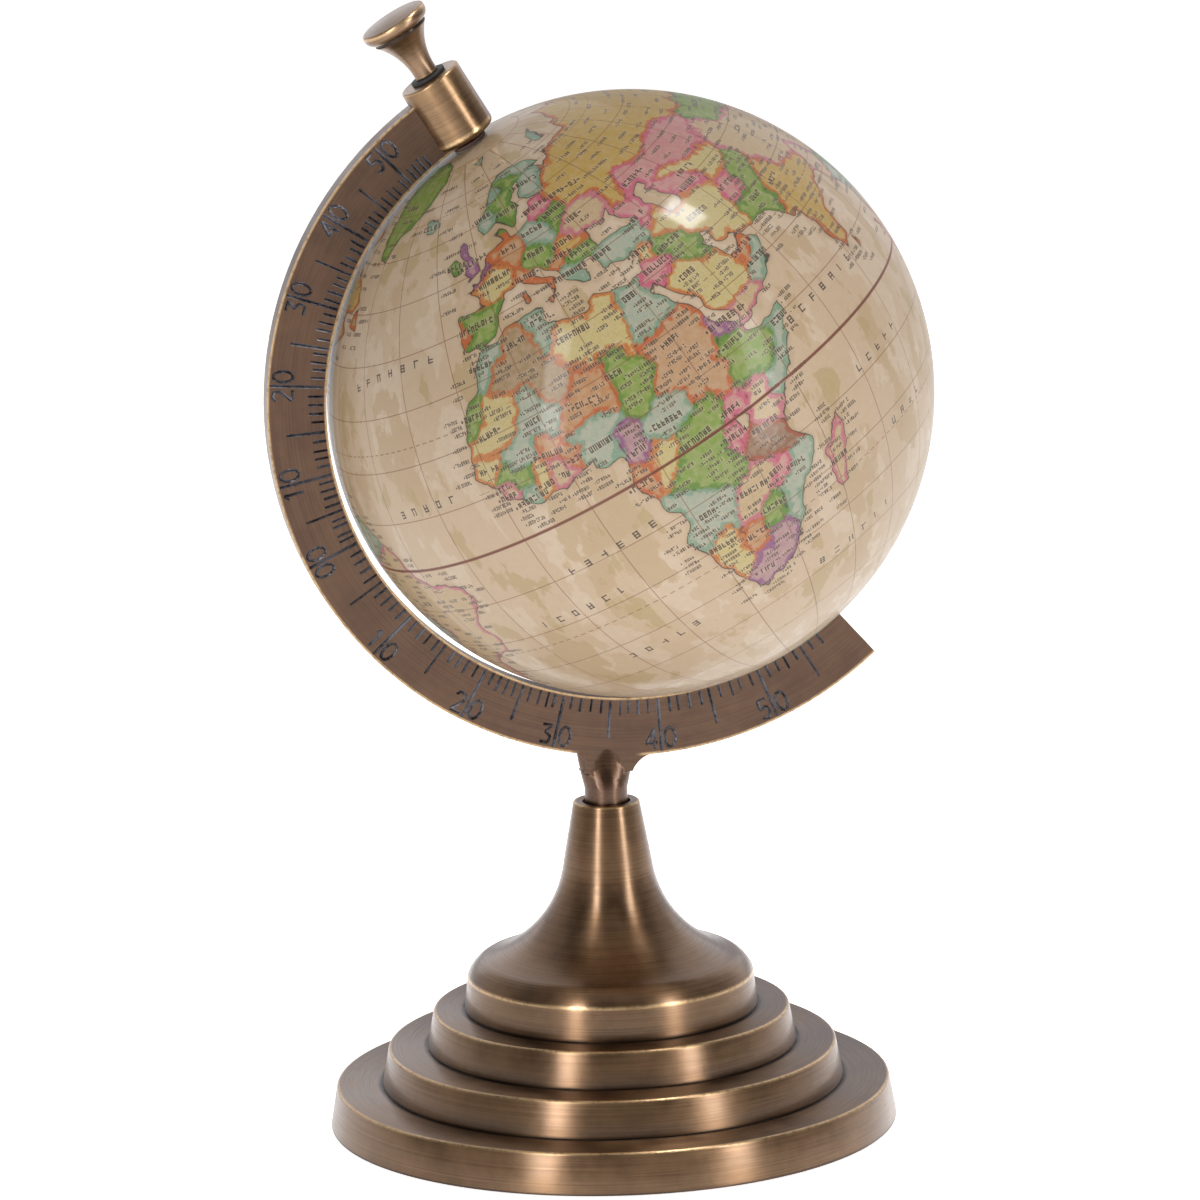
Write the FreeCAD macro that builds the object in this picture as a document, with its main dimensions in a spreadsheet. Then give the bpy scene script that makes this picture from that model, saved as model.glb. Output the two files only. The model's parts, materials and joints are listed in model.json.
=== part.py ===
"""Desktop globe on a turned brass stand, as a parametric document.

Frame: the origin is the centre of the underside, on the column axis. +Z is up. The arm lies in the XZ plane,
its numbered face looks along -Y, and its free lower end points towards +X. All sizes are in millimetres.
"""
import FreeCAD, Part
import math
import os

import Sketcher

Vector = FreeCAD.Vector

# Driving dimensions: alias, value (millimetres, or degrees where the name says so).
SIZES = (
    # Foot and the discs stacked on it
    ("foot_radius", 72.0),
    ("foot_lift", 0.5),
    ("foot_top", 11.0),
    ("foot_web", 2.4),
    ("foot_wall", 4.0),
    ("foot_rim_width", 2.0),
    ("pad_depth", 2.0),
    ("pad_clearance", 0.2),
    ("middle_radius", 58.6),
    ("middle_height", 9.5),
    ("upper_radius", 46.9),
    ("upper_height", 9.4),
    ("disc_wall", 4.0),
    ("disc_web", 3.0),
    ("hub_wall", 4.95),
    ("side_draft", 1.8),
    ("disc_edge_round", 0.8),
    ("register_radius", 12.0),
    ("register_height", 1.5),
    ("register_clearance", 0.05),
    ("register_gap", 0.3),
    # Trumpet column; its heights start on the upper disc
    ("column_height", 53.5),
    ("flange_radius", 37.2),
    ("flange_side_height", 8.7),
    ("flange_draft", 0.9),
    ("flange_lip_width", 4.6),
    ("flange_lip_height", 4.4),
    ("flange_lip_round", 8.6),
    ("flange_web", 3.0),
    ("flare_rise", 24.8),
    ("flare_round", 29.5),
    ("neck_taper", 2.85),
    ("mouth_wall", 2.25),
    ("mouth_clearance", 0.65),
    ("mouth_depth", 2.4),
    ("column_edge_round", 0.6),
    # Swivel spigot, stud and fasteners
    ("spigot_radius", 4.95),
    ("swivel_clearance", 0.05),
    ("spigot_length", 19.0),
    ("spigot_end_gap", 0.4),
    ("shoulder_gap", 0.1),
    ("stud_radius", 2.5),
    ("stud_hole_clearance", 0.3),
    ("stud_grip", 12.0),
    ("stud_tail", 0.4),
    ("column_washer_radius", 8.0),
    ("column_washer_height", 1.0),
    ("spring_washer_radius", 4.6),
    ("spring_washer_height", 1.2),
    ("spring_washer_angle", 348.0),
    ("washer_gap", 0.1),
    ("nut_across_flats", 8.0),
    ("nut_height", 2.7),
    # Ball
    ("ball_radius", 76.0),
    ("ball_x", 8.7),
    ("axis_tilt", 30.7),
    ("shell_wall", 2.2),
    ("seam_ring_height", 8.0),
    ("seam_ring_wall", 2.0),
    ("seam_ring_clearance", 0.05),
    ("bush_radius", 4.5),
    ("bush_length", 15.0),
    ("bush_flange_radius", 8.0),
    ("bush_flange_height", 1.5),
    ("pivot_radius", 1.8),
    ("pivot_clearance", 0.06),
    # Arm; the heights of its stem start at the top of the column
    ("arm_clearance", 1.4),
    ("arm_width", 14.9),
    ("arm_thickness", 6.0),
    ("arm_edge_round", 0.6),
    ("arm_rise", 11.8),
    ("arm_end_angle", 311.2),
    ("collar_wall", 5.45),
    ("collar_gap", 1.9),
    ("collar_length", 17.7),
    ("collar_chamfer", 1.6),
    ("stem_shoulder", 0.5),
    ("stem_round_rise", 3.6),
    ("stem_waist_rise", 7.6),
    ("stem_waist_width", 12.8),
    ("stem_waist_depth", 8.6),
    ("stem_root_rise", 14.1),
    ("stem_root_width", 15.0),
    ("web_rise", 7.8),
    ("web_half_width", 6.4),
    ("web_right", 13.2),
    ("web_right_round", 7.0),
    ("web_left", 8.4),
    ("web_left_round", 3.4),
    ("web_overlap", 5.0),
    ("web_flare_lap", 0.2),
    ("pin_grip", 8.0),
    ("pin_reach", 11.0),
    ("pole_washer_radius", 4.5),
    ("pole_washer_height", 0.8),
    ("pole_washer_gap", 0.2),
    ("cut_overrun", 2.0),
    # Axis screw and its washer
    ("shank_radius", 2.5),
    ("shank_clearance", 0.05),
    ("screw_tip_reach", 11.5),
    ("knob_washer_radius", 4.6),
    ("knob_washer_height", 0.8),
    ("knob_washer_gap", 0.1),
    ("knob_neck_step", 0.55),
    ("knob_neck_length", 13.0),
    ("knob_flare_round", 16.5),
    ("knob_groove_depth", 0.35),
    ("knob_groove_width", 0.7),
    ("knob_rim_radius", 8.7),
    ("knob_rim_overhang", 1.5),
    ("knob_rim_height", 3.4),
    ("knob_rim_round", 2.2),
    ("knob_edge_width", 0.8),
    ("knob_dome_rise", 0.8),
)

DOCUMENT = FreeCAD.newDocument("DesktopGlobe")
SHEET = DOCUMENT.addObject("Spreadsheet::Sheet", "Sizes")


def fill_sheet():
    """Write every driving dimension and its alias into the spreadsheet."""
    for row, (alias, size) in enumerate(SIZES, start=1):
        SHEET.set("A%d" % row, alias)
        SHEET.set("B%d" % row, str(size))
        SHEET.setAlias("B%d" % row, alias)
    DOCUMENT.recompute()


def value(expression):
    """Return an expression of the sheet's sizes as a float."""
    return float(SHEET.evalExpression(expression))


def size(alias):
    """Return the expression that reads one size from the sheet."""
    return "Sizes." + alias


def bind(target, path, expression):
    """Bind one property of an object to an expression of the sheet's sizes."""
    target.setExpression(path, expression)


# Body, sketch and feature helpers -------------------------------------------------------------------------

def new_body(label):
    """Add an empty body whose label names the sub-part."""
    body = DOCUMENT.addObject("PartDesign::Body", label)
    body.Label = label
    return body


def new_sketch(body, role, name):
    """Add a sketch on one of the body's own origin planes."""
    sketch = body.newObject("Sketcher::SketchObject", name)
    plane = [feature for feature in body.Origin.OriginFeatures if feature.Role == role][0]
    sketch.AttachmentSupport = (plane, [""])
    sketch.MapMode = "FlatFace"
    return sketch


def shift_sketch(sketch, axis, expression):
    """Move a sketch's origin along one of its own axes."""
    bind(sketch, "AttachmentOffset.Base." + axis, expression)


def turn_sketch(sketch, expression):
    """Turn a sketch about its own normal."""
    sketch.AttachmentOffset = FreeCAD.Placement(Vector(0, 0, 0), FreeCAD.Rotation(Vector(0, 0, 1), 1))
    bind(sketch, "AttachmentOffset.Rotation.Angle", expression)


def fix_point(sketch, geometry, vertex, corner):
    """Hold one vertex of a sketch at a corner given by two expressions."""
    directions = (("DistanceX", -2, corner[0]), ("DistanceY", -1, corner[1]))
    for kind, axis, expression in directions:
        if expression == "0":
            sketch.addConstraint(Sketcher.Constraint("PointOnObject", geometry, vertex, axis))
            continue
        constraint = Sketcher.Constraint(kind, -1, 1, geometry, vertex, value(expression))
        index = sketch.addConstraint(constraint)
        bind(sketch, "Constraints[%d]" % index, expression)


def arc_edge(start, end, radius, turn):
    """Return an arc between two points; a turn of 1 runs anticlockwise and -1 clockwise."""
    chord = end - start
    rise = math.sqrt(max(radius ** 2 - chord.Length ** 2 / 4.0, 0.0))
    across = Vector(-chord.y, chord.x, 0).normalize()
    centre = (start + end) * 0.5 + across * rise * turn
    first, last = (start, end) if turn > 0 else (end, start)
    angles = [math.atan2(point.y - centre.y, point.x - centre.x) for point in (first, last)]
    if angles[1] < angles[0]:
        angles[1] += 2 * math.pi
    return Part.ArcOfCircle(Part.Circle(centre, Vector(0, 0, 1), radius), angles[0], angles[1])


def outline(sketch, corners):
    """Draw a closed outline.

    Each corner is (x, y), or (x, y, radius, turn) where the edge that leaves it is an arc. All but turn are
    expressions.
    """
    points = [Vector(value(corner[0]), value(corner[1]), 0) for corner in corners]
    starts = []
    ends = []
    for index, corner in enumerate(corners):
        start = points[index]
        end = points[(index + 1) % len(points)]
        if len(corner) == 2:
            geometry = sketch.addGeometry(Part.LineSegment(start, end))
            starts.append((geometry, 1))
            ends.append((geometry, 2))
            continue
        radius, turn = corner[2:]
        geometry = sketch.addGeometry(arc_edge(start, end, value(radius), turn))
        starts.append((geometry, 1 if turn > 0 else 2))
        ends.append((geometry, 2 if turn > 0 else 1))
    for index, corner in enumerate(corners):
        start = starts[(index + 1) % len(corners)]
        sketch.addConstraint(Sketcher.Constraint("Coincident", *ends[index], *start))
        fix_point(sketch, *starts[index], corner[:2])
        if len(corner) > 2:
            constraint = Sketcher.Constraint("Radius", starts[index][0], value(corner[2]))
            bind(sketch, "Constraints[%d]" % sketch.addConstraint(constraint), corner[2])


def circle(sketch, radius):
    """Draw a circle about the sketch's origin."""
    geometry = sketch.addGeometry(Part.Circle(Vector(0, 0, 0), Vector(0, 0, 1), value(radius)))
    sketch.addConstraint(Sketcher.Constraint("Coincident", geometry, 3, -1, 1))
    index = sketch.addConstraint(Sketcher.Constraint("Radius", geometry, value(radius)))
    bind(sketch, "Constraints[%d]" % index, radius)


def ellipse(sketch, width, depth):
    """Draw an ellipse about the sketch's origin, its width along the sketch's x axis."""
    geometry = sketch.addGeometry(Part.Ellipse(Vector(0, 0, 0), value(width) / 2, value(depth) / 2))
    sketch.addConstraint(Sketcher.Constraint("Coincident", geometry, 3, -1, 1))
    sketch.exposeInternalGeometry(geometry)
    sketch.addConstraint(Sketcher.Constraint("Horizontal", geometry + 1))
    for line, expression in ((geometry + 1, width), (geometry + 2, depth)):
        index = sketch.addConstraint(Sketcher.Constraint("Distance", line, value(expression)))
        bind(sketch, "Constraints[%d]" % index, expression)


def pad(body, sketch, name, length, side="One side"):
    """Extrude a sketch."""
    feature = body.newObject("PartDesign::Pad", name)
    feature.Profile = sketch
    feature.SideType = side
    bind(feature, "Length", length)
    return feature


def turned(body, sketch, name, kind="Revolution", angle="360"):
    """Turn a sketch about its own vertical axis, adding or (as a Groove) removing metal."""
    feature = body.newObject("PartDesign::" + kind, name)
    feature.Profile = sketch
    feature.ReferenceAxis = (sketch, ["V_Axis"])
    bind(feature, "Angle", angle)
    return feature


def turned_body(label, corners, angle="360"):
    """Build a sub-part that is one turned outline."""
    body = new_body(label)
    sketch = new_sketch(body, "XZ_Plane", label + "_profile")
    outline(sketch, corners)
    turned(body, sketch, label + "_turned", angle=angle)
    return body


def set_on_ball_axis(body, angle):
    """Put a body at the ball's centre, its Z axis tilted from the vertical towards -X by an angle."""
    body.Placement = FreeCAD.Placement(Vector(0, 0, 0), FreeCAD.Rotation(Vector(0, -1, 0), value(angle)))
    bind(body, "Placement.Base.x", size("ball_x"))
    bind(body, "Placement.Base.z", BALL_HEIGHT)
    bind(body, "Placement.Rotation.Angle", angle)


# Heights and radii that several pieces share --------------------------------------------------------------

NORTH = size("axis_tilt")
SOUTH = size("axis_tilt") + " + 180"
MIDDLE_TOP = "(Sizes.foot_top + Sizes.middle_height)"
UPPER_TOP = "(Sizes.foot_top + Sizes.middle_height + Sizes.upper_height)"
COLUMN_TOP = "(%s + Sizes.column_height)" % UPPER_TOP
STUD_HOLE = "Sizes.stud_radius + Sizes.stud_hole_clearance"
HUB_RADIUS = "Sizes.register_radius + Sizes.register_clearance + Sizes.hub_wall"
LEDGE = COLUMN_TOP + " - Sizes.mouth_depth"
BORE_RADIUS = "Sizes.spigot_radius + Sizes.swivel_clearance"
SPIGOT_END = LEDGE + " - Sizes.spigot_length"
BORE_FLOOR = SPIGOT_END + " - Sizes.spigot_end_gap"
SHOULDER = LEDGE + " + Sizes.shoulder_gap"
STEM_RADIUS = "(Sizes.spigot_radius + Sizes.stem_shoulder)"
MOUTH_RADIUS = "(%s + Sizes.mouth_clearance)" % STEM_RADIUS
NECK_TOP_RADIUS = "(%s + Sizes.mouth_wall)" % MOUTH_RADIUS
ARM_INNER = "(Sizes.ball_radius + Sizes.arm_clearance)"
ARM_OUTER = "(%s + Sizes.arm_width)" % ARM_INNER
BALL_HEIGHT = "(%s + Sizes.arm_rise + %s)" % (COLUMN_TOP, ARM_OUTER)
COLLAR_RADIUS = "(Sizes.shank_radius + Sizes.shank_clearance + Sizes.collar_wall)"
COLLAR_START = "(Sizes.ball_radius + Sizes.collar_gap)"
COLLAR_END = "(%s + Sizes.collar_length)" % COLLAR_START
FOOT_WEB_UNDER = "Sizes.foot_top - Sizes.foot_web"
WASHER_UNDER = FOOT_WEB_UNDER + " - Sizes.column_washer_height"
SPRING_TOP = WASHER_UNDER + " - Sizes.washer_gap"
SPRING_UNDER = SPRING_TOP + " - Sizes.spring_washer_height"
NUT_UNDER = SPRING_UNDER + " - Sizes.nut_height"
SHELL_INNER = "(Sizes.ball_radius - Sizes.shell_wall)"
PIVOT_BORE = "Sizes.pivot_radius + Sizes.pivot_clearance"
BUSH_FACE = "sqrt(Sizes.ball_radius^2 - Sizes.bush_radius^2)"
KNOB_NECK_START = COLLAR_END + " + Sizes.knob_washer_height + 2 * Sizes.knob_washer_gap"
KNOB_RIM_START = KNOB_NECK_START + " + Sizes.knob_neck_length"
KNOB_RIM_END = KNOB_RIM_START + " + Sizes.knob_rim_height"


# Stand ----------------------------------------------------------------------------------------------------

def base_pad():
    """Felt pad let into the rim of the foot; the object rests on it."""
    body = new_body("base_pad")
    sketch = new_sketch(body, "XY_Plane", "base_pad_outline")
    circle(sketch, "Sizes.foot_radius - Sizes.foot_rim_width - Sizes.pad_clearance")
    pad(body, sketch, "base_pad_sheet", size("pad_depth"))
    return body


def foot_disc():
    """Cast foot: a shallow dish with a ledge for the pad and a register on top."""
    inner = "Sizes.foot_radius - Sizes.foot_wall"
    rim_inner = "Sizes.foot_radius - Sizes.foot_rim_width"
    top_radius = "Sizes.foot_radius - Sizes.side_draft"
    register_top = "Sizes.foot_top + Sizes.register_height"
    return turned_body("foot_disc", (
        (STUD_HOLE, FOOT_WEB_UNDER),
        (inner, FOOT_WEB_UNDER),
        (inner, size("pad_depth")),
        (rim_inner, size("pad_depth")),
        (rim_inner, size("foot_lift")),
        (size("foot_radius"), size("foot_lift")),
        (top_radius, "Sizes.foot_top - Sizes.disc_edge_round", size("disc_edge_round"), 1),
        (top_radius + " - Sizes.disc_edge_round", size("foot_top")),
        (size("register_radius"), size("foot_top")),
        (size("register_radius"), register_top),
        (STUD_HOLE, register_top),
    ))


def register_recess(bottom):
    """Return the corners of the recess that fits over the register of the disc below."""
    recess_radius = "Sizes.register_radius + Sizes.register_clearance"
    recess_top = bottom + " + Sizes.register_height + Sizes.register_gap"
    return (
        (STUD_HOLE, recess_top),
        (recess_radius, recess_top),
        (recess_radius, bottom),
        (HUB_RADIUS, bottom),
    )


def stacked_disc(label, radius, bottom, top):
    """One of the discs between foot and column: hollow underneath, with a register on top."""
    inner = radius + " - Sizes.disc_wall"
    top_radius = radius + " - Sizes.side_draft"
    under_web = top + " - Sizes.disc_web"
    return turned_body(label, register_recess(bottom) + (
        (HUB_RADIUS, under_web),
        (inner, under_web),
        (inner, bottom),
        (radius, bottom),
        (top_radius, top + " - Sizes.disc_edge_round", size("disc_edge_round"), 1),
        (top_radius + " - Sizes.disc_edge_round", top),
        (size("register_radius"), top),
        (size("register_radius"), top + " + Sizes.register_height"),
        (STUD_HOLE, top + " + Sizes.register_height"),
    ))


def trumpet_column():
    """Flared column with the swivel bore down its neck."""
    bottom = UPPER_TOP
    inner = "Sizes.flange_radius - Sizes.disc_wall"
    side_top = bottom + " + Sizes.flange_side_height"
    under_web = side_top + " - Sizes.flange_web"
    top_radius = "Sizes.flange_radius - Sizes.flange_draft"
    shoulder_radius = "Sizes.flange_radius - Sizes.flange_lip_width"
    shoulder = side_top + " + Sizes.flange_lip_height"
    return turned_body("trumpet_column", register_recess(bottom) + (
        (HUB_RADIUS, under_web),
        (inner, under_web),
        (inner, bottom),
        (size("flange_radius"), bottom),
        (top_radius, side_top, size("flange_lip_round"), 1),
        (shoulder_radius, shoulder, size("flare_round"), -1),
        (NECK_TOP_RADIUS + " + Sizes.neck_taper", shoulder + " + Sizes.flare_rise"),
        (NECK_TOP_RADIUS, COLUMN_TOP + " - Sizes.column_edge_round", size("column_edge_round"), 1),
        (NECK_TOP_RADIUS + " - Sizes.column_edge_round", COLUMN_TOP),
        (MOUTH_RADIUS, COLUMN_TOP),
        (MOUTH_RADIUS, LEDGE),
        (BORE_RADIUS, LEDGE),
        (BORE_RADIUS, BORE_FLOOR),
        (STUD_HOLE, BORE_FLOOR),
    ))


def washer(label, bore, radius, bottom, top, angle="360"):
    """A flat washer about its own Z axis; an angle under 360 leaves it split."""
    return turned_body(label, ((bore, bottom), (radius, bottom), (radius, top), (bore, top)), angle)


# Arm ------------------------------------------------------------------------------------------------------

def ring_point(radius, angle):
    """Return the x and y expressions of a point at a radius and an angle in degrees."""
    return "(%s) * cos(%s)" % (radius, angle), "(%s) * sin(%s)" % (radius, angle)


def ring_underside(offset):
    """Return the height of the ring's outer edge at a distance from the column axis."""
    return "%s - sqrt(%s^2 - (%s - Sizes.ball_x)^2)" % (BALL_HEIGHT, ARM_OUTER, offset)


def column_sketch(body, name):
    """Add a sketch in the arm's plane whose origin is the part's origin, under the column axis."""
    sketch = new_sketch(body, "XZ_Plane", name)
    shift_sketch(sketch, "x", "-Sizes.ball_x")
    shift_sketch(sketch, "y", "-" + BALL_HEIGHT)
    return sketch


def axis_sketch(body, name, angle):
    """Add a sketch in the arm's plane whose vertical axis is the ball's axis."""
    sketch = new_sketch(body, "XZ_Plane", name)
    turn_sketch(sketch, angle)
    return sketch


def arm_ring(body):
    """Flat curved bar from the collar round the ball to the free lower end."""
    first = "(90 + Sizes.axis_tilt)"
    last = size("arm_end_angle")
    middle = "(%s + %s) / 2" % (first, last)
    sketch = new_sketch(body, "XZ_Plane", "arm_ring_outline")
    outline(sketch, (
        ring_point(ARM_OUTER, first) + (ARM_OUTER, 1),
        ring_point(ARM_OUTER, middle) + (ARM_OUTER, 1),
        ring_point(ARM_OUTER, last),
        ring_point(ARM_INNER, last) + (ARM_INNER, -1),
        ring_point(ARM_INNER, middle) + (ARM_INNER, -1),
        ring_point(ARM_INNER, first),
    ))
    pad(body, sketch, "arm_ring_bar", size("arm_thickness"), "Symmetric")


def arm_web(body):
    """Web under the ring, with a curved flare on each side of the stem."""
    sketch = column_sketch(body, "arm_web_outline")
    low = COLUMN_TOP + " + Sizes.web_rise"
    inside = "%s - %s + Sizes.web_overlap" % (BALL_HEIGHT, ARM_OUTER)
    lap = " + Sizes.web_flare_lap"
    outline(sketch, (
        ("-Sizes.web_half_width", low),
        (size("web_half_width"), low, size("web_right_round"), -1),
        (size("web_right"), ring_underside("Sizes.web_right") + lap),
        (size("web_right"), inside),
        ("-Sizes.web_left", inside),
        ("-Sizes.web_left", ring_underside("-Sizes.web_left") + lap, size("web_left_round"), -1),
    ))
    pad(body, sketch, "arm_web_plate", size("arm_thickness"), "Symmetric")


def arm_stem(body):
    """Stem that runs from the flat web to a round shank and the swivel spigot."""
    sections = []
    round_top = COLUMN_TOP + " + Sizes.stem_round_rise"
    heights = (round_top, COLUMN_TOP + " + Sizes.stem_waist_rise", COLUMN_TOP + " + Sizes.stem_root_rise")
    for index, height in enumerate(heights):
        sketch = new_sketch(body, "XY_Plane", "stem_section_%d" % (index + 1))
        shift_sketch(sketch, "x", "-Sizes.ball_x")
        shift_sketch(sketch, "z", height + " - " + BALL_HEIGHT)
        sections.append(sketch)
    circle(sections[0], STEM_RADIUS)
    ellipse(sections[1], size("stem_waist_width"), size("stem_waist_depth"))
    ellipse(sections[2], size("stem_root_width"), size("arm_thickness"))
    loft = body.newObject("PartDesign::AdditiveLoft", "stem_blend")
    loft.Profile = sections[0]
    loft.Sections = sections[1:]
    profile = column_sketch(body, "stem_profile")
    outline(profile, (
        ("0", SPIGOT_END),
        (size("spigot_radius"), SPIGOT_END),
        (size("spigot_radius"), SHOULDER),
        (STEM_RADIUS, SHOULDER),
        (STEM_RADIUS, round_top),
        ("0", round_top),
    ))
    turned(body, profile, "stem_turned")
    hole = column_sketch(body, "stud_hole_profile")
    hole_top = SPIGOT_END + " + Sizes.stud_grip"
    outline(hole, (
        ("0", SPIGOT_END),
        (size("stud_radius"), SPIGOT_END),
        (size("stud_radius"), hole_top),
        ("0", hole_top),
    ))
    turned(body, hole, "stud_hole", "Groove")


def arm_collar(body):
    """Round collar on the arm's upper end, on the ball's axis, bored for the axis screw."""
    sketch = axis_sketch(body, "collar_profile", NORTH)
    outline(sketch, (
        ("0", COLLAR_START),
        (COLLAR_RADIUS + " - Sizes.collar_chamfer", COLLAR_START, size("collar_chamfer"), 1),
        (COLLAR_RADIUS, COLLAR_START + " + Sizes.collar_chamfer"),
        (COLLAR_RADIUS, COLLAR_END + " - Sizes.arm_edge_round", size("arm_edge_round"), 1),
        (COLLAR_RADIUS + " - Sizes.arm_edge_round", COLLAR_END),
        ("0", COLLAR_END),
    ))
    turned(body, sketch, "collar_turned")
    bore = axis_sketch(body, "collar_bore_profile", NORTH)
    bore_radius = "Sizes.shank_radius + Sizes.shank_clearance"
    below = ARM_INNER + " - Sizes.cut_overrun"
    above = COLLAR_END + " + Sizes.cut_overrun"
    outline(bore, (("0", below), (bore_radius, below), (bore_radius, above), ("0", above)))
    turned(body, bore, "collar_bore", "Groove")


def arm_pin_hole(body):
    """Blind hole in the ring's inner edge for the south pin."""
    sketch = axis_sketch(body, "pin_hole_profile", SOUTH)
    mouth = ARM_INNER + " - Sizes.cut_overrun"
    floor = ARM_INNER + " + Sizes.pin_grip"
    radius = size("pivot_radius")
    outline(sketch, (("0", mouth), (radius, mouth), (radius, floor), ("0", floor)))
    turned(body, sketch, "pin_hole", "Groove")


def meridian_arm():
    """The C-shaped arm: ring, web, stem, collar and the holes in them."""
    body = new_body("meridian_arm")
    bind(body, "Placement.Base.x", size("ball_x"))
    bind(body, "Placement.Base.z", BALL_HEIGHT)
    arm_ring(body)
    arm_web(body)
    arm_stem(body)
    arm_collar(body)
    arm_pin_hole(body)
    return body


def tie_stud():
    """Stud from the stem down through the column and the discs."""
    body = new_body("tie_stud")
    sketch = new_sketch(body, "XY_Plane", "tie_stud_section")
    bottom = NUT_UNDER + " - Sizes.stud_tail"
    shift_sketch(sketch, "z", bottom)
    circle(sketch, size("stud_radius"))
    pad(body, sketch, "tie_stud_rod", "%s + Sizes.stud_grip - (%s)" % (SPIGOT_END, bottom))
    return body


def stud_nut():
    """Thin hexagon nut that holds the stud from below."""
    body = new_body("stud_nut")
    sketch = new_sketch(body, "XY_Plane", "stud_nut_section")
    shift_sketch(sketch, "z", NUT_UNDER)
    corner_radius = "Sizes.nut_across_flats / (2 * cos(30))"
    outline(sketch, [ring_point(corner_radius, str(30 + 60 * corner)) for corner in range(6)])
    circle(sketch, size("stud_radius"))
    pad(body, sketch, "stud_nut_hexagon", size("nut_height"))
    return body


def south_pin():
    """Fixed pin under the south pole that the ball turns on."""
    body = new_body("south_pin")
    sketch = new_sketch(body, "XY_Plane", "south_pin_section")
    shift_sketch(sketch, "z", "Sizes.ball_radius - Sizes.pin_reach")
    circle(sketch, size("pivot_radius"))
    grip_end = ARM_INNER + " + Sizes.pin_grip"
    pad(body, sketch, "south_pin_rod", grip_end + " - Sizes.ball_radius + Sizes.pin_reach")
    set_on_ball_axis(body, SOUTH)
    return body


def pole_washer(label, angle):
    """Thin washer between the ball and the arm at one pole."""
    bottom = "Sizes.ball_radius + Sizes.pole_washer_gap"
    body = washer(label, "Sizes.pivot_radius + Sizes.pole_washer_gap", size("pole_washer_radius"), bottom,
                  bottom + " + Sizes.pole_washer_height")
    set_on_ball_axis(body, angle)
    return body


# Ball -----------------------------------------------------------------------------------------------------

def half_shell(label, angle):
    """Hollow hemisphere with a hole at its pole for the bush."""
    hole = size("bush_radius")
    body = turned_body(label, (
        (hole, "sqrt(%s^2 - Sizes.bush_radius^2)" % SHELL_INNER, SHELL_INNER, -1),
        (SHELL_INNER, "0"),
        (size("ball_radius"), "0", size("ball_radius"), 1),
        (hole, BUSH_FACE),
    ))
    set_on_ball_axis(body, angle)
    return body


def seam_ring():
    """Joint ring inside the ball that lines up the two shells."""
    outer = "(Sizes.ball_radius - Sizes.shell_wall - Sizes.seam_ring_clearance)"
    edge = "sqrt(%s^2 - (Sizes.seam_ring_height / 2)^2)" % outer
    inner = "Sizes.ball_radius - Sizes.shell_wall - Sizes.seam_ring_wall"
    body = turned_body("seam_ring", (
        (inner, "-Sizes.seam_ring_height / 2"),
        (edge, "-Sizes.seam_ring_height / 2", outer, 1),
        (edge, "Sizes.seam_ring_height / 2"),
        (inner, "Sizes.seam_ring_height / 2"),
    ))
    set_on_ball_axis(body, NORTH)
    return body


def pole_bush(label, angle):
    """Flanged bush pressed into a shell's pole hole from inside."""
    tail = "Sizes.ball_radius - Sizes.bush_length"
    flange_top = "sqrt(%s^2 - Sizes.bush_flange_radius^2) - Sizes.seam_ring_clearance" % SHELL_INNER
    flange_bottom = flange_top + " - Sizes.bush_flange_height"
    body = turned_body(label, (
        (PIVOT_BORE, tail),
        (size("bush_radius"), tail),
        (size("bush_radius"), flange_bottom),
        (size("bush_flange_radius"), flange_bottom),
        (size("bush_flange_radius"), flange_top),
        (size("bush_radius"), flange_top),
        (size("bush_radius"), BUSH_FACE),
        (PIVOT_BORE, BUSH_FACE),
    ))
    set_on_ball_axis(body, angle)
    return body


# Axis screw -----------------------------------------------------------------------------------------------

def axis_screw():
    """Knob, shank and pivot tip in one turned piece, screwed down through the collar."""
    tip_end = "Sizes.ball_radius - Sizes.screw_tip_reach"
    groove_low = KNOB_RIM_START + " - Sizes.knob_groove_width"
    groove_radius = "Sizes.knob_rim_radius - Sizes.knob_rim_overhang"
    groove_floor = groove_radius + " - Sizes.knob_groove_depth"
    face_radius = "(Sizes.knob_rim_radius - Sizes.knob_edge_width)"
    rim_low = KNOB_RIM_START + " + Sizes.knob_rim_round"
    dome_round = "(%s^2 + Sizes.knob_dome_rise^2) / (2 * Sizes.knob_dome_rise)" % face_radius
    body = turned_body("axis_screw", (
        ("0", tip_end),
        (size("pivot_radius"), tip_end),
        (size("pivot_radius"), COLLAR_START),
        (size("shank_radius"), COLLAR_START),
        (size("shank_radius"), KNOB_NECK_START),
        ("Sizes.shank_radius + Sizes.knob_neck_step", KNOB_NECK_START, size("knob_flare_round"), -1),
        (groove_radius, groove_low),
        (groove_floor, groove_low),
        (groove_floor, KNOB_RIM_START),
        (groove_radius, KNOB_RIM_START, size("knob_rim_round"), 1),
        (size("knob_rim_radius"), rim_low),
        (size("knob_rim_radius"), KNOB_RIM_END + " - Sizes.knob_edge_width", size("knob_edge_width"), 1),
        (face_radius, KNOB_RIM_END, dome_round, 1),
        ("0", KNOB_RIM_END + " + Sizes.knob_dome_rise"),
    ))
    set_on_ball_axis(body, NORTH)
    return body


def knob_washer():
    """Thin washer between the knob's neck and the collar."""
    bottom = COLLAR_END + " + Sizes.knob_washer_gap"
    body = washer("knob_washer", "Sizes.shank_radius + Sizes.knob_washer_gap", size("knob_washer_radius"), bottom,
                  bottom + " + Sizes.knob_washer_height")
    set_on_ball_axis(body, NORTH)
    return body


# Assembly and export --------------------------------------------------------------------------------------

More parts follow.
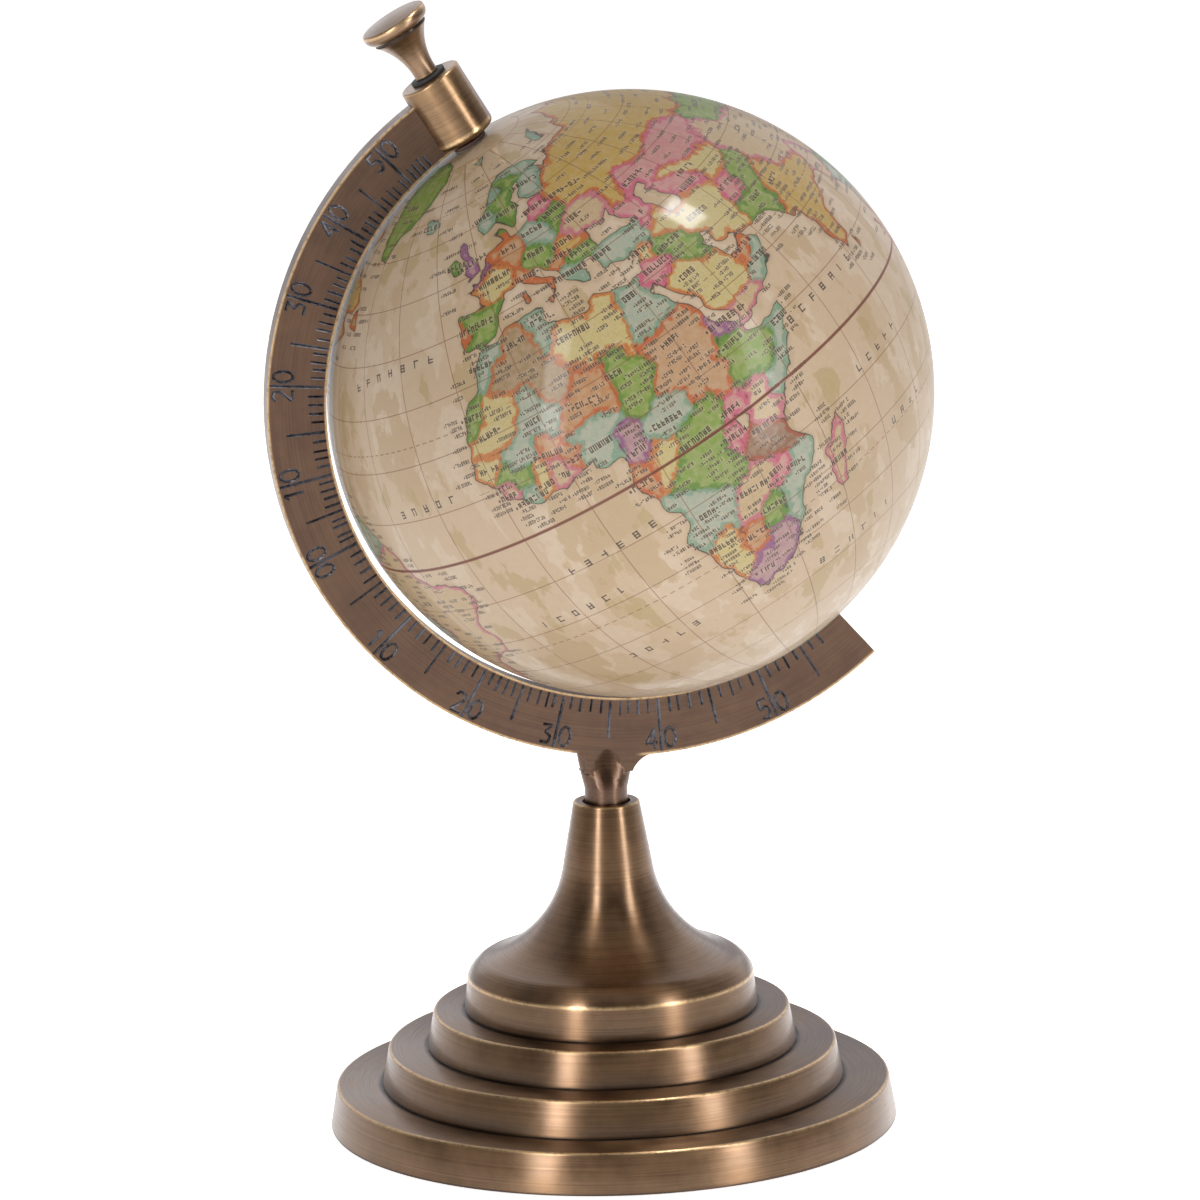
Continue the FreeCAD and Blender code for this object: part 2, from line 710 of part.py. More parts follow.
def build_bodies():
    """Build every sub-part and return the list of bodies."""
    return [
        base_pad(),
        foot_disc(),
        stacked_disc("middle_disc", size("middle_radius"), size("foot_top"), MIDDLE_TOP),
        stacked_disc("upper_disc", size("upper_radius"), MIDDLE_TOP, UPPER_TOP),
        trumpet_column(),
        washer("column_washer", STUD_HOLE, size("column_washer_radius"), WASHER_UNDER, FOOT_WEB_UNDER),
        meridian_arm(),
        tie_stud(),
        washer("spring_washer", STUD_HOLE, size("spring_washer_radius"), SPRING_UNDER, SPRING_TOP,
               size("spring_washer_angle")),
        stud_nut(),
        south_pin(),
        pole_washer("north_washer", NORTH),
        pole_washer("south_washer", SOUTH),
        half_shell("northern_shell", NORTH),
        half_shell("southern_shell", SOUTH),
        seam_ring(),
        pole_bush("north_bush", NORTH),
        pole_bush("south_bush", SOUTH),
        axis_screw(),
        knob_washer(),
    ]


def check_document(bodies):
    """Stop if any object failed or any body has no sound solid."""
    for item in DOCUMENT.Objects:
        if "Invalid" in item.State or "Error" in item.State:
            raise RuntimeError("%s did not rebuild: %s" % (item.Label, item.State))
    for body in bodies:
        if body.Shape.isNull() or not body.Shape.isValid() or len(body.Shape.Solids) != 1:
            raise RuntimeError("%s has no sound solid" % body.Label)


def export_parts(bodies):
    """Write one STEP file per sub-part."""
    os.makedirs("parts", exist_ok=True)
    for body in bodies:
        body.Shape.exportStep("parts/%s.step" % body.Label)


fill_sheet()
BODIES = build_bodies()
DOCUMENT.recompute()
check_document(BODIES)
export_parts(BODIES)
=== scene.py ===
"""Looks of a desktop globe on a turned brass stand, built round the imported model.

The row frame is in metres, with +Z up and the column on the Z axis. Outlines are written in millimetres and
made metres when a piece is put in its place.
"""

import json
import logging
import math
import random
from collections.abc import Iterable, Sequence
from dataclasses import dataclass, field
from enum import Enum

import bmesh
import bpy
import numpy as np
from mathutils import Matrix, Vector


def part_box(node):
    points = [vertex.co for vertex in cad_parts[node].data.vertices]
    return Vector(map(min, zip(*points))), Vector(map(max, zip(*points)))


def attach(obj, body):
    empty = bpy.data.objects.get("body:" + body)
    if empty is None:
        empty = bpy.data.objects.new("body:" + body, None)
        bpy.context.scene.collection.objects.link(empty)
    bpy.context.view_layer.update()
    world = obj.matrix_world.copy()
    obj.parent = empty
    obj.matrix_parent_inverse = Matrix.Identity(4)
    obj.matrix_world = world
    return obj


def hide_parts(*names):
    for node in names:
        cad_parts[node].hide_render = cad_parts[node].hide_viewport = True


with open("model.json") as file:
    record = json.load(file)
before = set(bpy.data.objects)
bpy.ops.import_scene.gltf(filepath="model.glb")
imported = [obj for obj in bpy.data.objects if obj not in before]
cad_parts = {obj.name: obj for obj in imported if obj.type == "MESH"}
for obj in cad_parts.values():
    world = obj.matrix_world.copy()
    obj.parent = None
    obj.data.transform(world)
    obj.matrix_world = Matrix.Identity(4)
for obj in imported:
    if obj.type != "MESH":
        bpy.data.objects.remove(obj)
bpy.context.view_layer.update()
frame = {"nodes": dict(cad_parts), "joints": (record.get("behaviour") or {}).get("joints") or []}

LOG = logging.getLogger("desktop_globe")
MM = 0.001
FULL_STRENGTH = 1.0
QUARTER_TURN = 0.25
Colour = tuple[float, float, float, float]
LonLat = tuple[float, float]


def srgb(red: float, green: float, blue: float) -> Colour:
    """Turn a colour given as 0 to 255 screen values into a linear one.

    Args:
        red: Red value.
        green: Green value.
        blue: Blue value.

    Returns:
        The linear colour with full alpha.
    """
    shares = [value / 255.0 for value in (red, green, blue)]
    linear = [s / 12.92 if s <= 0.04045 else ((s + 0.055) / 1.055) ** 2.4 for s in shares]
    return linear[0], linear[1], linear[2], 1.0


# Shader toolkit -------------------------------------------------------------------------------------------

Source = bpy.types.NodeSocket | float | Sequence[float]


class Shader:
    """A material's node tree, with one short call for each kind of node that the finishes use."""

    def __init__(self, name: str) -> None:
        """Start an empty material that ends in one Principled shader.

        Args:
            name: Name of the material.
        """
        self.material = bpy.data.materials.new(name)
        self.material.use_nodes = True
        self.tree = self.material.node_tree
        self.tree.nodes.clear()
        self.surface = self.tree.nodes.new("ShaderNodeBsdfPrincipled")
        output = self.tree.nodes.new("ShaderNodeOutputMaterial")
        self.tree.links.new(self.surface.outputs[0], output.inputs["Surface"])
        self.place = self.node("ShaderNodeTexCoord").outputs["Object"]

    def node(self, kind: str, **settings: object) -> bpy.types.Node:
        """Add a node.

        Args:
            kind: Blender's node type.
            **settings: Properties set on the node.

        Returns:
            The new node.
        """
        node = self.tree.nodes.new(kind)
        for key, value in settings.items():
            setattr(node, key, value)
        return node

    def feed(self, socket: bpy.types.NodeSocket, source: Source) -> None:
        """Link a socket to another node, or set its value.

        Args:
            socket: Input socket.
            source: Output socket, number or vector.
        """
        if isinstance(source, bpy.types.NodeSocket):
            self.tree.links.new(source, socket)
        else:
            socket.default_value = source

    def set(self, **values: Source) -> None:
        """Feed inputs of the Principled shader, named with underscores for spaces."""
        for key, value in values.items():
            self.feed(self.surface.inputs[key.replace("_", " ")], value)

    def math(self, operation: str, *sources: Source, clamp: bool = False) -> bpy.types.NodeSocket:
        """Add a Math node.

        Args:
            operation: Blender's operation name.
            *sources: Its inputs in order.
            clamp: Whether the result is held between 0 and 1.

        Returns:
            The result.
        """
        node = self.node("ShaderNodeMath", operation=operation, use_clamp=clamp)
        for socket, source in zip(node.inputs, sources):
            self.feed(socket, source)
        return node.outputs[0]

    def vector(self, operation: str, *sources: Source) -> bpy.types.NodeSocket:
        """Add a Vector Math node.

        Args:
            operation: Blender's operation name.
            *sources: Its inputs in order.

        Returns:
            The number for a dot product, length or distance, or else the vector.
        """
        node = self.node("ShaderNodeVectorMath", operation=operation)
        for socket, source in zip(node.inputs, sources):
            self.feed(socket, source)
        return node.outputs["Value" if operation in ("DOT_PRODUCT", "LENGTH", "DISTANCE") else "Vector"]

    def scaled(self, vector: Source, factor: float) -> bpy.types.NodeSocket:
        """Scale a vector.

        Args:
            vector: The vector.
            factor: What it is multiplied by.

        Returns:
            The longer or shorter vector.
        """
        node = self.node("ShaderNodeVectorMath", operation="SCALE")
        self.feed(node.inputs[0], vector)
        node.inputs["Scale"].default_value = factor
        return node.outputs["Vector"]

    def combined(self, x: Source, y: Source, z: Source) -> bpy.types.NodeSocket:
        """Make a vector of three numbers.

        Args:
            x: First number.
            y: Second number.
            z: Third number.

        Returns:
            The vector.
        """
        node = self.node("ShaderNodeCombineXYZ")
        for socket, source in zip(node.inputs, (x, y, z)):
            self.feed(socket, source)
        return node.outputs[0]

    def noise(self, vector: Source, scale: float, detail: float = 2.0,
              roughness: float = 0.5) -> bpy.types.NodeSocket:
        """Add a noise texture.

        Args:
            vector: Where it is read.
            scale: Its scale.
            detail: Octaves.
            roughness: Weight of the finer octaves.

        Returns:
            A number that varies about 0.5.
        """
        node = self.node("ShaderNodeTexNoise")
        self.feed(node.inputs["Vector"], vector)
        node.inputs["Scale"].default_value = scale
        node.inputs["Detail"].default_value = detail
        node.inputs["Roughness"].default_value = roughness
        return node.outputs["Fac"]

    def rise(self, value: Source, low: float, high: float, start: float = 0.0,
             end: float = 1.0) -> bpy.types.NodeSocket:
        """Map a number smoothly from one range to another, held at both ends.

        Args:
            value: The number.
            low: Value that gives start.
            high: Value that gives end.
            start: Result at low.
            end: Result at high.

        Returns:
            The mapped number.
        """
        node = self.node("ShaderNodeMapRange", interpolation_type="SMOOTHSTEP")
        ranges = {"Value": value, "From Min": low, "From Max": high, "To Min": start, "To Max": end}
        for name, source in ranges.items():
            self.feed(node.inputs[name], source)
        return node.outputs["Result"]

    def line(self, distance: Source, half_width: float, softness: float) -> bpy.types.NodeSocket:
        """Return 1 where a distance is under a half width, falling to 0 over a softness."""
        return self.rise(distance, half_width, half_width + softness, 1.0, 0.0)

    def mix(self, share: Source, first: Source, second: Source, blend: str = "MIX") -> bpy.types.NodeSocket:
        """Mix two colours.

        Args:
            share: Share of the second one.
            first: Colour at 0.
            second: Colour at 1.
            blend: Blender's blend name.

        Returns:
            The mixed colour.
        """
        node = self.node("ShaderNodeMix", data_type="RGBA", blend_type=blend)
        for index, source in ((0, share), (6, first), (7, second)):
            self.feed(node.inputs[index], source)
        return node.outputs[2]

    def attribute(self, name: str, output: str = "Fac") -> bpy.types.NodeSocket:
        """Return one of the piece's own attributes."""
        return self.node("ShaderNodeAttribute", attribute_name=name).outputs[output]

    def bump(self, height: Source, strength: float, distance: float) -> None:
        """Roughen the surface.

        Args:
            height: Height from 0 to 1.
            strength: Share of the effect.
            distance: Height of 1 in metres.
        """
        node = self.node("ShaderNodeBump")
        node.inputs["Strength"].default_value = strength
        node.inputs["Distance"].default_value = distance
        self.feed(node.inputs["Height"], height)
        self.set(Normal=node.outputs[0])


# Finishes -------------------------------------------------------------------------------------------------

@dataclass(frozen=True)
class Ring:
    """A ring on a turned piece, in millimetres: its radius, its height on the axis and how far it shows."""

    radius: float
    height: float
    reach: float


@dataclass(frozen=True)
class AgedBrass:
    """Bronzed and lacquered brass, brushed round an axis, with rubbed metal and a painted highlight on edges,
    and painted shade in corners.
    """

    name: str
    centre: Vector
    axis: Vector = Vector((0.0, 0.0, 1.0))
    body: Colour = srgb(134, 105, 78)
    patina: Colour = srgb(94, 71, 51)
    # Colour of rubbed metal on edges, which also stands in as a painted highlight along them.
    worn_metal_and_highlight: Colour = srgb(206, 172, 128)
    # Colour of the painted shade in corners and crevices where parts meet.
    crevice_shade: Colour = srgb(30, 24, 22)
    shine: float = 0.34
    brushed: float = 0.85
    lacquer: float = 0.35
    lacquer_rough: float = 0.2
    brush_depth: float = 0.008
    # Rings of rubbed metal that also carry a painted highlight.
    wear_and_highlight_rings: tuple[Ring, ...] = ()
    # Rings of painted shade where parts meet or the surface sinks in.
    corners: tuple[Ring, ...] = ()
    calm: tuple[float, float, float] | None = None
    calm_from: float = 7.5
    calm_to: float = 10.5

    def rings(self, shader: Shader, rings: Iterable[Ring], radius: Source, height: Source) -> Source:
        """Return a mask that is 1 on any of some rings.

        Args:
            shader: Node tree to add to.
            rings: The rings.
            radius: Radius of the shaded point.
            height: Height of the shaded point.

        Returns:
            The mask.
        """
        mask: Source = 0.0
        here = shader.combined(radius, height, 0.0)
        for ring in rings:
            gap = shader.vector("DISTANCE", here, (ring.radius, ring.height, 0.0))
            mask = shader.math("MAXIMUM", mask, shader.rise(gap, 0.0, ring.reach, 1.0, 0.0))
        return mask

    def build(self) -> bpy.types.Material:
        """Make the brass.

        Returns:
            The material.
        """
        shader = Shader(self.name)
        offset = shader.scaled(shader.vector("SUBTRACT", shader.place, tuple(self.centre)), 1.0 / MM)
        height = shader.vector("DOT_PRODUCT", offset, tuple(self.axis))
        around = shader.vector("CROSS_PRODUCT", tuple(self.axis), offset)
        radius = shader.vector("LENGTH", around)
        drift = shader.vector("DOT_PRODUCT", offset, tuple(self.axis.orthogonal()))
        groove_place = shader.combined(radius, height, shader.math("MULTIPLY", drift, 0.012))
        lines = shader.noise(groove_place, 2.6, 3.0, 0.65)
        fine_lines = shader.noise(groove_place, 9.0, 2.0, 0.7)
        stains = shader.noise(offset, 0.07, 4.0, 0.62)
        specks = shader.noise(offset, 0.9, 3.0, 0.6)
        tone = shader.math("ADD", shader.math("MULTIPLY", lines, 0.45), shader.math("MULTIPLY", stains, 0.55))
        colour = shader.mix(shader.rise(tone, 0.28, 0.68), self.patina, self.body)
        colour = shader.mix(shader.rise(specks, 0.66, 0.8, 0.0, 0.2), colour, self.patina)
        # Rubbed metal on the rings, which also paints a highlight along the edges.
        wear_and_highlight = self.rings(shader, self.wear_and_highlight_rings, radius, height)
        wear_and_highlight = shader.math("MULTIPLY", wear_and_highlight, shader.rise(specks, 0.3, 0.55, 0.45, 1.0))
        if self.calm:
            away = shader.vector("DISTANCE", shader.place, self.calm)
            wear_and_highlight = shader.math("MULTIPLY", wear_and_highlight, shader.rise(away, self.calm_from * MM, self.calm_to * MM))
        colour = shader.mix(wear_and_highlight, colour, self.worn_metal_and_highlight)
        # Painted shade on the corner rings, broken up by the stains; it also roughens the surface there.
        painted_shade = self.rings(shader, self.corners, radius, height)
        painted_shade = shader.math("MULTIPLY", painted_shade, shader.rise(stains, 0.3, 0.6, 0.7, 0.95))
        colour = shader.mix(painted_shade, colour, self.crevice_shade)
        rough = shader.rise(shader.math("ADD", fine_lines, stains), 0.7, 1.35,
                            self.shine - 0.06, self.shine + 0.12)
        rough = shader.math("ADD", rough, shader.math("MULTIPLY", painted_shade, 0.3))
        turn = shader.node("ShaderNodeVectorTransform", vector_type="VECTOR", convert_from="OBJECT",
                           convert_to="WORLD")
        shader.feed(turn.inputs[0], shader.vector("NORMALIZE", around))
        shader.set(Base_Color=colour, Metallic=1.0, Roughness=rough, Anisotropic=self.brushed,
                   Anisotropic_Rotation=QUARTER_TURN, Tangent=turn.outputs[0], Coat_Weight=self.lacquer,
                   Coat_Roughness=self.lacquer_rough)
        shader.bump(shader.math("ADD", lines, fine_lines), 0.3, self.brush_depth * MM)
        return shader.material


@dataclass(frozen=True)
class PlainFinish:
    """A plain material with a grain: felt, nylon, fibre, steel or moulded plastic."""

    name: str
    light: Colour
    dark: Colour
    rough: float
    grain: float
    depth: float
    metal: float = 0.0
    nap: float = 0.0

    def build(self) -> bpy.types.Material:
        """Make the finish.

        Returns:
            The material.
        """
        shader = Shader(self.name)
        coarse = shader.noise(shader.place, self.grain * 0.12 / MM, 3.0)
        fine = shader.noise(shader.place, self.grain / MM, 4.0, 0.7)
        tone = shader.math("ADD", shader.math("MULTIPLY", coarse, 0.5), shader.math("MULTIPLY", fine, 0.5))
        shader.set(Base_Color=shader.mix(shader.rise(tone, 0.35, 0.65), self.dark, self.light))
        shader.set(Roughness=shader.rise(fine, 0.2, 0.8, self.rough - 0.08, self.rough + 0.08))
        shader.set(Metallic=self.metal, Sheen_Weight=self.nap)
        shader.bump(fine, 0.6, self.depth * MM)
        return shader.material


# Turning --------------------------------------------------------------------------------------------------

@dataclass(frozen=True)
class Corner:
    """A corner of a turned outline, in millimetres, with the round put on it."""

    radius: float
    height: float
    round: float = 0.0


def arc(start: tuple[float, float], end: tuple[float, float], radius: float, turn: int,
        count: int) -> list[Corner]:
    """Return the corners inside an arc between two points of an outline.

    Args:
        start: Radius and height where it starts.
        end: Radius and height where it ends.
        radius: Radius of the arc.
        turn: 1 if it runs anticlockwise and -1 if clockwise.
        count: How many corners it has, its ends left out.

    Returns:
        The corners.
    """
    first, last = Vector(start), Vector(end)
    chord = last - first
    rise = math.sqrt(max(radius ** 2 - chord.length_squared / 4.0, 0.0))
    centre = (first + last) / 2.0 + Vector((-chord.y, chord.x)).normalized() * rise * turn
    begin = math.atan2(*(first - centre).yx)
    sweep = (math.atan2(*(last - centre).yx) - begin) * turn % math.tau * turn
    angles = (begin + sweep * (step + 1) / (count + 1) for step in range(count))
    return [Corner(centre.x + radius * math.cos(a), centre.y + radius * math.sin(a)) for a in angles]


def finished(mesh: bmesh.types.BMesh, name: str, place: Matrix, smooth_deg: float = 32.0) -> bpy.types.Object:
    """Put a mesh made in millimetres in its place and make an object of it, which sits at the origin.

    Args:
        mesh: The mesh, which is used up.
        name: Name of the piece.
        place: From the mesh's own frame to the row frame, in millimetres.
        smooth_deg: Edges that bend more than this stay sharp.

    Returns:
        The new object.
    """
    bmesh.ops.transform(mesh, matrix=Matrix.Scale(MM, 4) @ place, verts=mesh.verts)
    data = bpy.data.meshes.new(name)
    mesh.to_mesh(data)
    mesh.free()
    data.polygons.foreach_set("use_smooth", [True] * len(data.polygons))
    data.set_sharp_from_angle(angle=math.radians(smooth_deg))
    piece = bpy.data.objects.new(name, data)
    bpy.context.scene.collection.objects.link(piece)
    return piece


def turned_mesh(corners: Sequence[Corner], steps: int, segments: int = 4) -> bmesh.types.BMesh:
    """Turn an outline about the Z axis and round its corners.

    Args:
        corners: The outline; it is closed unless both its ends lie on the axis.
        steps: Steps in the full turn.
        segments: Faces across each round.

    Returns:
        The mesh, in millimetres.
    """
    mesh = bmesh.new()
    verts = [mesh.verts.new((corner.radius, 0.0, corner.height)) for corner in corners]
    pairs = list(zip(verts, verts[1:]))
    if corners[0].radius > 0.0 or corners[-1].radius > 0.0:
        pairs.append((verts[-1], verts[0]))
    edges = [mesh.edges.new(pair) for pair in pairs]
    bmesh.ops.spin(mesh, geom=verts + edges, cent=(0, 0, 0), axis=(0, 0, 1), angle=math.tau, steps=steps,
                   use_merge=True)
    bmesh.ops.remove_doubles(mesh, verts=mesh.verts, dist=0.001)
    bmesh.ops.recalc_face_normals(mesh, faces=mesh.faces)
    rounds = {(round(c.radius, 2), round(c.height, 2)): c.round for c in corners if c.round > 0.0}
    for size in sorted(set(rounds.values())):
        chosen = []
        for edge in mesh.edges:
            keys = {(round(math.hypot(v.co.x, v.co.y), 2), round(v.co.z, 2)) for v in edge.verts}
            if len(keys) == 1 and rounds.get(keys.pop()) == size:
                chosen.append(edge)
        bmesh.ops.bevel(mesh, geom=chosen, offset=size, offset_type="OFFSET", segments=segments, profile=0.5,
                        affect="EDGES", clamp_overlap=True, material=-1)
    return mesh


def dress(piece: bpy.types.Object, *materials: bpy.types.Material) -> None:
    """Give a piece its materials.

    Args:
        piece: The piece.
        *materials: Its materials, in the order of its slots.
    """
    piece.data.materials.clear()
    for material in materials:
        piece.data.materials.append(material)


def place_piece(piece: bpy.types.Object, body: str, slot: str, *nodes: str) -> None:
    """Say which body a piece rides on and which nodes it stands for.

    Args:
        piece: The finished piece.
        body: Body that it moves with.
        slot: Material slot of the record; not used.
        *nodes: CAD nodes that it replaces.
    """
    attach(piece, body)
    if nodes:
        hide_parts(*nodes)
    LOG.info("%s: %d faces on %s", piece.name, len(piece.data.polygons), body)


def box_mm(node: str) -> tuple[Vector, Vector]:
    """Return the lowest and highest corner of a CAD node in millimetres."""
    low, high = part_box(node)
    return low / MM, high / MM


def joint(name: str) -> dict:
    """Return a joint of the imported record."""
    return next(item for item in frame["joints"] if item["name"] == name)


# Studio ---------------------------------------------------------------------------------------------------

@dataclass(frozen=True)
class SoftBox:
    """A soft box round the object: its bearing and height in degrees, its size in metres and its strength."""

    name: str
    bearing: float
    rise: float
    width: float
    tall: float
    watts: float
    distance: float = 1.1


@dataclass(frozen=True)
class Studio:
    """Camera, soft boxes, pale floor and the light of the room."""

    azimuth: float = -10.3
    elevation: float = 12.21
    distance: float = 2.0007
    roll: float = -1.40
    lens: float = 238.8
    aim: Vector = Vector((-0.00035, 0.00006, 0.13512))
    sensor: float = 36.0
    backdrop: Colour = (1.0, 1.0, 1.0, 1.0)
    walls: Colour = srgb(236, 236, 244)
    front_light: float = 0.07
    back_light: float = 0.6
    floor_size: float = 20.0
    floor_colour: Colour = (0.93, 0.93, 0.93, 1.0)
    floor_glow: float = 0.8
    boxes: tuple[SoftBox, ...] = (
        SoftBox("left_strip", -28.0, 10.0, 0.16, 1.0, 6.8),
        SoftBox("right_strip", 50.0, 10.0, 0.18, 1.0, 6.2),
        SoftBox("left_wall", -112.0, 20.0, 0.8, 1.2, 0.5),
        SoftBox("right_wall", 118.0, 20.0, 0.8, 1.2, 0.5),
        SoftBox("top_panel", 66.0, 72.0, 0.17, 0.20, 5.0),
        SoftBox("front_fill", -15.0, 62.0, 1.2, 0.5, 0.9),
        SoftBox("back_left", -160.0, 30.0, 0.6, 1.0, 1.2),
        SoftBox("back_right", 150.0, 30.0, 0.6, 1.0, 1.2),
    )

    def direction(self, bearing: float, rise: float) -> Vector:
        """Return the way from the object at a bearing from the camera and a height, both in degrees."""
        around, up = math.radians(self.azimuth + bearing), math.radians(rise)
        return Vector((math.sin(around) * math.cos(up), -math.cos(around) * math.cos(up), math.sin(up)))

    def set_camera(self) -> None:
        """Make the camera and look through it."""
        back = self.direction(0.0, self.elevation)
        across = Vector((math.cos(math.radians(self.azimuth)), math.sin(math.radians(self.azimuth)), 0.0))
        up = back.cross(across)
        tilt = math.radians(self.roll)
        right = across * math.cos(tilt) + up * math.sin(tilt)
        turn = Matrix((right, back.cross(right), back)).transposed()
        camera = bpy.data.objects.new("camera", bpy.data.cameras.new("camera"))
        camera.data.lens = self.lens
        camera.data.sensor_width = self.sensor
        camera.data.clip_start, camera.data.clip_end = 0.05, 60.0
        camera.matrix_world = Matrix.Translation(self.aim + back * self.distance) @ turn.to_4x4()
        bpy.context.scene.collection.objects.link(camera)
        bpy.context.scene.camera = camera

    def set_boxes(self) -> None:
        """Put the soft boxes round the object, each one facing it."""
        for box in self.boxes:
            light = bpy.data.lights.new(box.name, "AREA")
            light.shape, light.size, light.size_y, light.energy = "RECTANGLE", box.width, box.tall, box.watts
            way = self.direction(box.bearing, box.rise)
            lamp = bpy.data.objects.new(box.name, light)
            lamp.location = self.aim + way * box.distance
            lamp.rotation_euler = way.to_track_quat("Z", "Y").to_euler()
            lamp.visible_camera = False
            bpy.context.scene.collection.objects.link(lamp)

    def set_room(self) -> None:
        """Light the room evenly and show it white behind the object."""
        world = bpy.data.worlds.new("studio_room")
        world.use_nodes = True
        tree = world.node_tree
        tree.nodes.clear()
        seen = tree.nodes.new("ShaderNodeBackground")
        seen.inputs["Color"].default_value = self.backdrop
        seen.inputs["Strength"].default_value = FULL_STRENGTH
        room = tree.nodes.new("ShaderNodeBackground")
        room.inputs["Color"].default_value = self.walls
        way = tree.nodes.new("ShaderNodeTexCoord")
        behind = tree.nodes.new("ShaderNodeVectorMath")
        behind.operation = "DOT_PRODUCT"
        behind.inputs[1].default_value = self.direction(180.0, 0.0)
        fade = tree.nodes.new("ShaderNodeMapRange")
        ranges = {"From Min": -0.3, "From Max": 0.8, "To Min": self.front_light, "To Max": self.back_light}
        for name, value in ranges.items():
            fade.inputs[name].default_value = value
        tree.links.new(way.outputs["Generated"], behind.inputs[0])
        tree.links.new(behind.outputs["Value"], fade.inputs["Value"])
        tree.links.new(fade.outputs["Result"], room.inputs["Strength"])
        path = tree.nodes.new("ShaderNodeLightPath")
        choice = tree.nodes.new("ShaderNodeMixShader")
        output = tree.nodes.new("ShaderNodeOutputWorld")
        tree.links.new(path.outputs["Is Camera Ray"], choice.inputs[0])
        tree.links.new(room.outputs[0], choice.inputs[1])
        tree.links.new(seen.outputs[0], choice.inputs[2])
        tree.links.new(choice.outputs[0], output.inputs["Surface"])
        bpy.context.scene.world = world
        bpy.context.scene.view_settings.view_transform = "Standard"

    def set_floor(self) -> None:
        """Lay a wide pale floor."""
        mesh = bmesh.new()
        bmesh.ops.create_grid(mesh, x_segments=1, y_segments=1, size=self.floor_size)
        data = bpy.data.meshes.new("studio_floor")
        mesh.to_mesh(data)
        mesh.free()
        floor = bpy.data.objects.new("studio_floor", data)
        bpy.context.scene.collection.objects.link(floor)
        shader = Shader("pale_floor")
        shader.set(Base_Color=self.floor_colour, Roughness=0.9, Emission_Color=self.backdrop,
                   Emission_Strength=self.floor_glow)
        dress(floor, shader.material)

    def build(self) -> None:
        """Build the whole studio."""
        self.set_camera()
        self.set_boxes()
        self.set_room()
        self.set_floor()


# Stand ----------------------------------------------------------------------------------------------------

